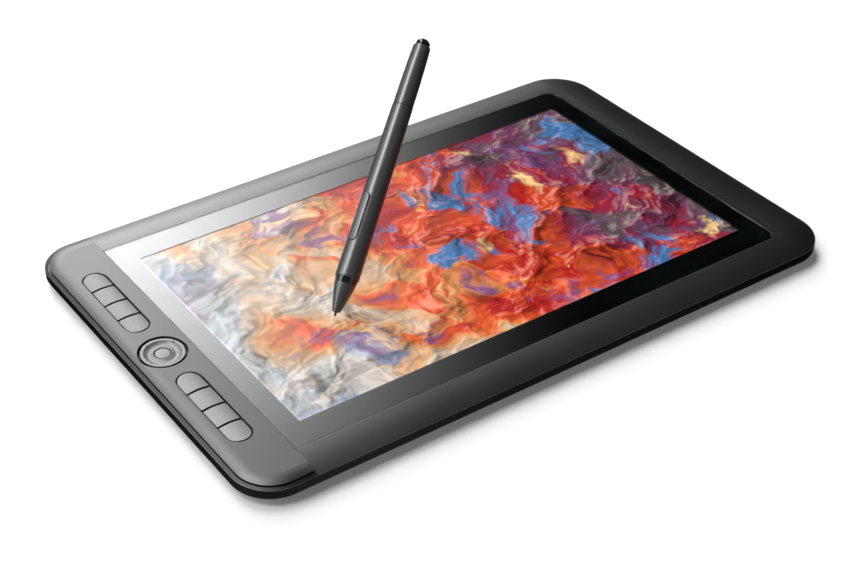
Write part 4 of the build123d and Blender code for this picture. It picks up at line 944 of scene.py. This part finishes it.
# The fine seam in front of the tail sleeve is dark: places are measured along the pen's axis
pen_tilt, pen_turn = math.radians(40.1), math.radians(32.6)
pen_axis = np.array(
    (math.cos(pen_tilt) * math.cos(pen_turn), math.cos(pen_tilt) * math.sin(pen_turn), math.sin(pen_tilt))
)
sleeve_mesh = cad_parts["tail_sleeve"].data
sleeve_points = np.empty(3 * len(sleeve_mesh.vertices))
sleeve_mesh.vertices.foreach_get("co", sleeve_points)
sleeve_points = sleeve_points.reshape(-1, 3)
sleeve_far = np.linalg.norm(np.cross(sleeve_points - sleeve_points.mean(0), pen_axis), axis=1)
sleeve_outer = sleeve_far > 0.9 * sleeve_far.max()
seam_at = float((sleeve_points @ pen_axis)[sleeve_outer].min())
seam_half = 0.00022
pen_place = add_node(pen_tree, "ShaderNodeTexCoord")
pen_along = add_node(pen_tree, "ShaderNodeVectorMath", {1: tuple(pen_axis)}, operation="DOT_PRODUCT")
pen_tree.links.new(pen_place.outputs["Object"], pen_along.inputs[0])
pen_seam = between(
    pen_tree, pen_along.outputs["Value"], seam_at - seam_half, seam_at + seam_half, 0.00005
)
pen_colour = pen_shader.inputs["Base Color"].links[0].from_socket
pen_colour = painted(pen_tree, pen_colour, (0.001, 0.001, 0.001), pen_seam)
pen_tree.links.new(pen_colour, pen_shader.inputs["Base Color"])
dress(pen_plastic, "pen_barrel", "nose_cone", "tail_sleeve")
pen_gloss = moulded(
    "polished_black", (0.002, 0.002, 0.0024), (0.004, 0.004, 0.004), 0.08, 900, 0.01, 0.1, 0.1
)
shader_of(pen_gloss).inputs["Coat Weight"].default_value = 0.5
dress(pen_gloss, "light_ring", "end_cap")
rocker_grey = moulded(
    "rocker_grey", (0.17, 0.172, 0.175), (0.28, 0.28, 0.285), 0.36, 3000, 0.06, 0.3, 0.15
)
shader_of(rocker_grey).inputs["Metallic"].default_value = 0.6
dress(rocker_grey, "side_rocker")
nib_acetal = moulded(
    "nib_acetal", (0.03, 0.03, 0.031), (0.07, 0.07, 0.07), 0.5, 2200, 0.2, 0.3, 0.2
)
dress(nib_acetal, "nib", "nib_holder", "inner_carrier")
copper_wire = drawn_metal("copper_wire", (0.72, 0.34, 0.17), 0.3, (3000, 3000, 300), 0.4)
dress(copper_wire, "pen_coil")
ferrite = moulded(
    "sintered_ferrite", (0.05, 0.047, 0.046), (0.12, 0.11, 0.11), 0.55, 2600, 0.4, 0.5, 0.3
)
dress(ferrite, "ferrite_core")

# Studio: a pale floor, an open pale surround, and one tall curved card behind the tablet
# that is bright at its left end and falls to black at its right end.
floor_half, floor_z = 6.0, -0.0002
floor_mesh = bpy.data.meshes.new("studio_floor")
floor_mesh.from_pydata(
    [
        (-floor_half, -floor_half, floor_z),
        (floor_half, -floor_half, floor_z),
        (floor_half, floor_half, floor_z),
        (-floor_half, floor_half, floor_z),
    ],
    [],
    [(0, 1, 2, 3)],
)
floor = bpy.data.objects.new("studio_floor", floor_mesh)
bpy.context.scene.collection.objects.link(floor)
floor_paint, floor_tree, floor_shader = new_material("floor_paint")
floor_shader.inputs["Base Color"].default_value = (0.85, 0.85, 0.85, 1)
floor_shader.inputs["Roughness"].default_value = 0.9
floor_shader.inputs["Specular IOR Level"].default_value = 0.0
floor_shader.inputs["Emission Color"].default_value = (1.0, 1.0, 1.0, 1)
floor_rays = add_node(floor_tree, "ShaderNodeLightPath")
floor_lift = maths(floor_tree, "MULTIPLY", floor_rays.outputs["Is Camera Ray"], 0.06)
floor_tree.links.new(floor_lift, floor_shader.inputs["Emission Strength"])
# The floor is there for the camera alone, and only from above, so the underside can be seen
# and is lit by the surround below it
floor_side = add_node(floor_tree, "ShaderNodeNewGeometry")
floor_open = maths(
    floor_tree,
    "SUBTRACT",
    floor_rays.outputs["Is Camera Ray"],
    floor_side.outputs["Backfacing"],
    clamp=True,
)
floor_tree.links.new(floor_open, floor_shader.inputs["Alpha"])
floor_mesh.materials.append(floor_paint)

card_far, card_columns = 8.0, 115
card_turns = np.radians(np.linspace(-50.0, 178.0, card_columns))
card_heights = np.radians(np.array((8.0, 73.0)))
card_points = np.stack(
    np.broadcast_arrays(
        card_far * np.cos(card_turns),
        card_far * np.sin(card_turns),
        card_far * np.tan(card_heights)[:, None],
    ),
    -1,
)
card_mesh = bpy.data.meshes.new("studio_card")
card_mesh.from_pydata(card_points.reshape(-1, 3).tolist(), [], grid_faces(2, card_columns, closed=False))
card = bpy.data.objects.new("studio_card", card_mesh)
bpy.context.scene.collection.objects.link(card)
card_paint, card_tree, card_shader = new_material("card_paint")
card_shader.inputs["Base Color"].default_value = (0.0, 0.0, 0.0, 1)
card_shader.inputs["Specular IOR Level"].default_value = 0.0
card_x, card_y, card_z = own_axes(card_tree)
card_turn = maths(card_tree, "ARCTAN2", card_y, card_x)


def card_ramp(value, start, end, first=0.0, last=1.0):
    """A soft ramp on the card: one level before a turn or height, another after it."""
    ramp_node = add_node(
        card_tree,
        "ShaderNodeMapRange",
        {"From Min": start, "From Max": end, "To Min": first, "To Max": last},
        interpolation_type="SMOOTHSTEP",
    )
    card_tree.links.new(value, ramp_node.inputs["Value"])
    return ramp_node.outputs["Result"]


def by_turn(start, end, first=0.0, last=1.0, turn=card_turn):
    """A ramp along the card, between two turns round the tablet in degrees."""
    return card_ramp(turn, math.radians(start), math.radians(end), first, last)


def by_height(start, end, first=0.0, last=1.0):
    """A ramp up the card, between two angles above the floor in degrees."""
    low, high = (card_far * math.tan(math.radians(angle)) for angle in (start, end))
    return card_ramp(card_z, low, high, first, last)


def card_times(*levels):
    """Levels on the card multiplied together."""
    product = levels[0]
    for level in levels[1:]:
        product = maths(card_tree, "MULTIPLY", product, level)
    return product


# The low part is what the glass mirrors: it glows at the back left and is black at the right
slanted = maths(card_tree, "ADD", card_turn, by_height(32, 39, math.radians(-2.5), 0.0))
mirrored = card_times(
    maths(card_tree, "POWER", by_turn(43, 67, turn=slanted), 2.0),
    by_turn(72, 88, 1.0, 0.06),
    by_height(32, 39, 1.3, 1.0),
    by_height(32, 46, 1.0, 0.25),
)
# The high part lights the tablet and the pen from the left, above what low views mirror
overhead = card_times(
    by_turn(62, 86),
    by_height(47, 57),
    by_turn(92, 108, 1.6, 0.5),
    by_turn(138, 158, 1.0, 2.4),
)
# A middle part fills the panel's outer slope and the wheel's left rim
slope = card_times(by_turn(68, 76), by_turn(88, 100, 0.6, 0.0), by_height(36, 41))
# The left end gives the pen its long highlight
beside = card_times(by_turn(132, 150), by_turn(160, 178, 0.36, 0.4))
card_level = maths(
    card_tree, "ADD", maths(card_tree, "ADD", mirrored, overhead), maths(card_tree, "ADD", slope, beside)
)
card_strength = 6.6
card_level = card_times(card_level, by_height(11, 23, 0.2, 1.0), card_strength)
card_tree.links.new(card_level, card_shader.inputs["Emission Strength"])
card_shader.inputs["Emission Color"].default_value = (1.0, 1.0, 1.0, 1)
card_mesh.materials.append(card_paint)
card.visible_camera = False

world = bpy.data.worlds.new("studio_surround")
world.use_nodes = True
bpy.context.scene.world = world
world_tree = world.node_tree
sky = world_tree.nodes["Background"]
sky.inputs["Color"].default_value = (1.0, 1.0, 1.0, 1)
world_rays = add_node(world_tree, "ShaderNodeLightPath")
world_level = add_node(world_tree, "ShaderNodeMapRange", {"To Max": 1.0})
# For other rays it is dim above and dark below the horizon, where the walls mirror it, and
# bright straight below, where it lights the underside
world_place = add_node(world_tree, "ShaderNodeTexCoord")
world_axes = add_node(world_tree, "ShaderNodeSeparateXYZ")
world_above = add_node(
    world_tree,
    "ShaderNodeMapRange",
    {"From Min": -0.2, "From Max": 0.05, "To Min": 0.02, "To Max": 0.17},
)
world_below = add_node(
    world_tree,
    "ShaderNodeMapRange",
    {"From Min": -0.76, "From Max": -0.96, "To Min": 0.0, "To Max": 7.0},
)
world_tree.links.new(world_place.outputs["Generated"], world_axes.inputs[0])
world_tree.links.new(world_axes.outputs["Z"], world_above.inputs["Value"])
world_tree.links.new(world_axes.outputs["Z"], world_below.inputs["Value"])
world_both = maths(world_tree, "ADD", world_above.outputs["Result"], world_below.outputs["Result"])
world_tree.links.new(world_both, world_level.inputs["To Min"])
world_tree.links.new(world_rays.outputs["Is Camera Ray"], world_level.inputs["Value"])
world_tree.links.new(world_level.outputs["Result"], sky.inputs["Strength"])

# Camera: solved from the photograph's straight edges, with a lens of about 70 mm.
camera_data = bpy.data.cameras.new("studio_camera")
camera = bpy.data.objects.new("studio_camera", camera_data)
bpy.context.scene.collection.objects.link(camera)
camera_data.sensor_fit = "HORIZONTAL"
camera_data.sensor_width = 36.0
camera_data.lens = 69.95
camera_data.shift_x = 0.0662
camera_data.clip_start = 0.01
camera_data.clip_end = 60.0
forward = np.array((0.4606, 0.6664, -0.5864))
forward /= np.linalg.norm(forward)
upward = np.array((0.3297, 0.4849, 0.8100))
upward -= forward * (upward @ forward)
upward /= np.linalg.norm(upward)
across_view = np.cross(forward, upward)
camera_place = np.eye(4)
camera_place[:3, :3] = np.column_stack((across_view, upward, -forward))
camera_place[:3, 3] = (-0.4640, -0.6095, 0.5381)
camera.matrix_world = Matrix(camera_place.tolist())
bpy.context.scene.camera = camera
bpy.context.scene.view_settings.view_transform = "Standard"
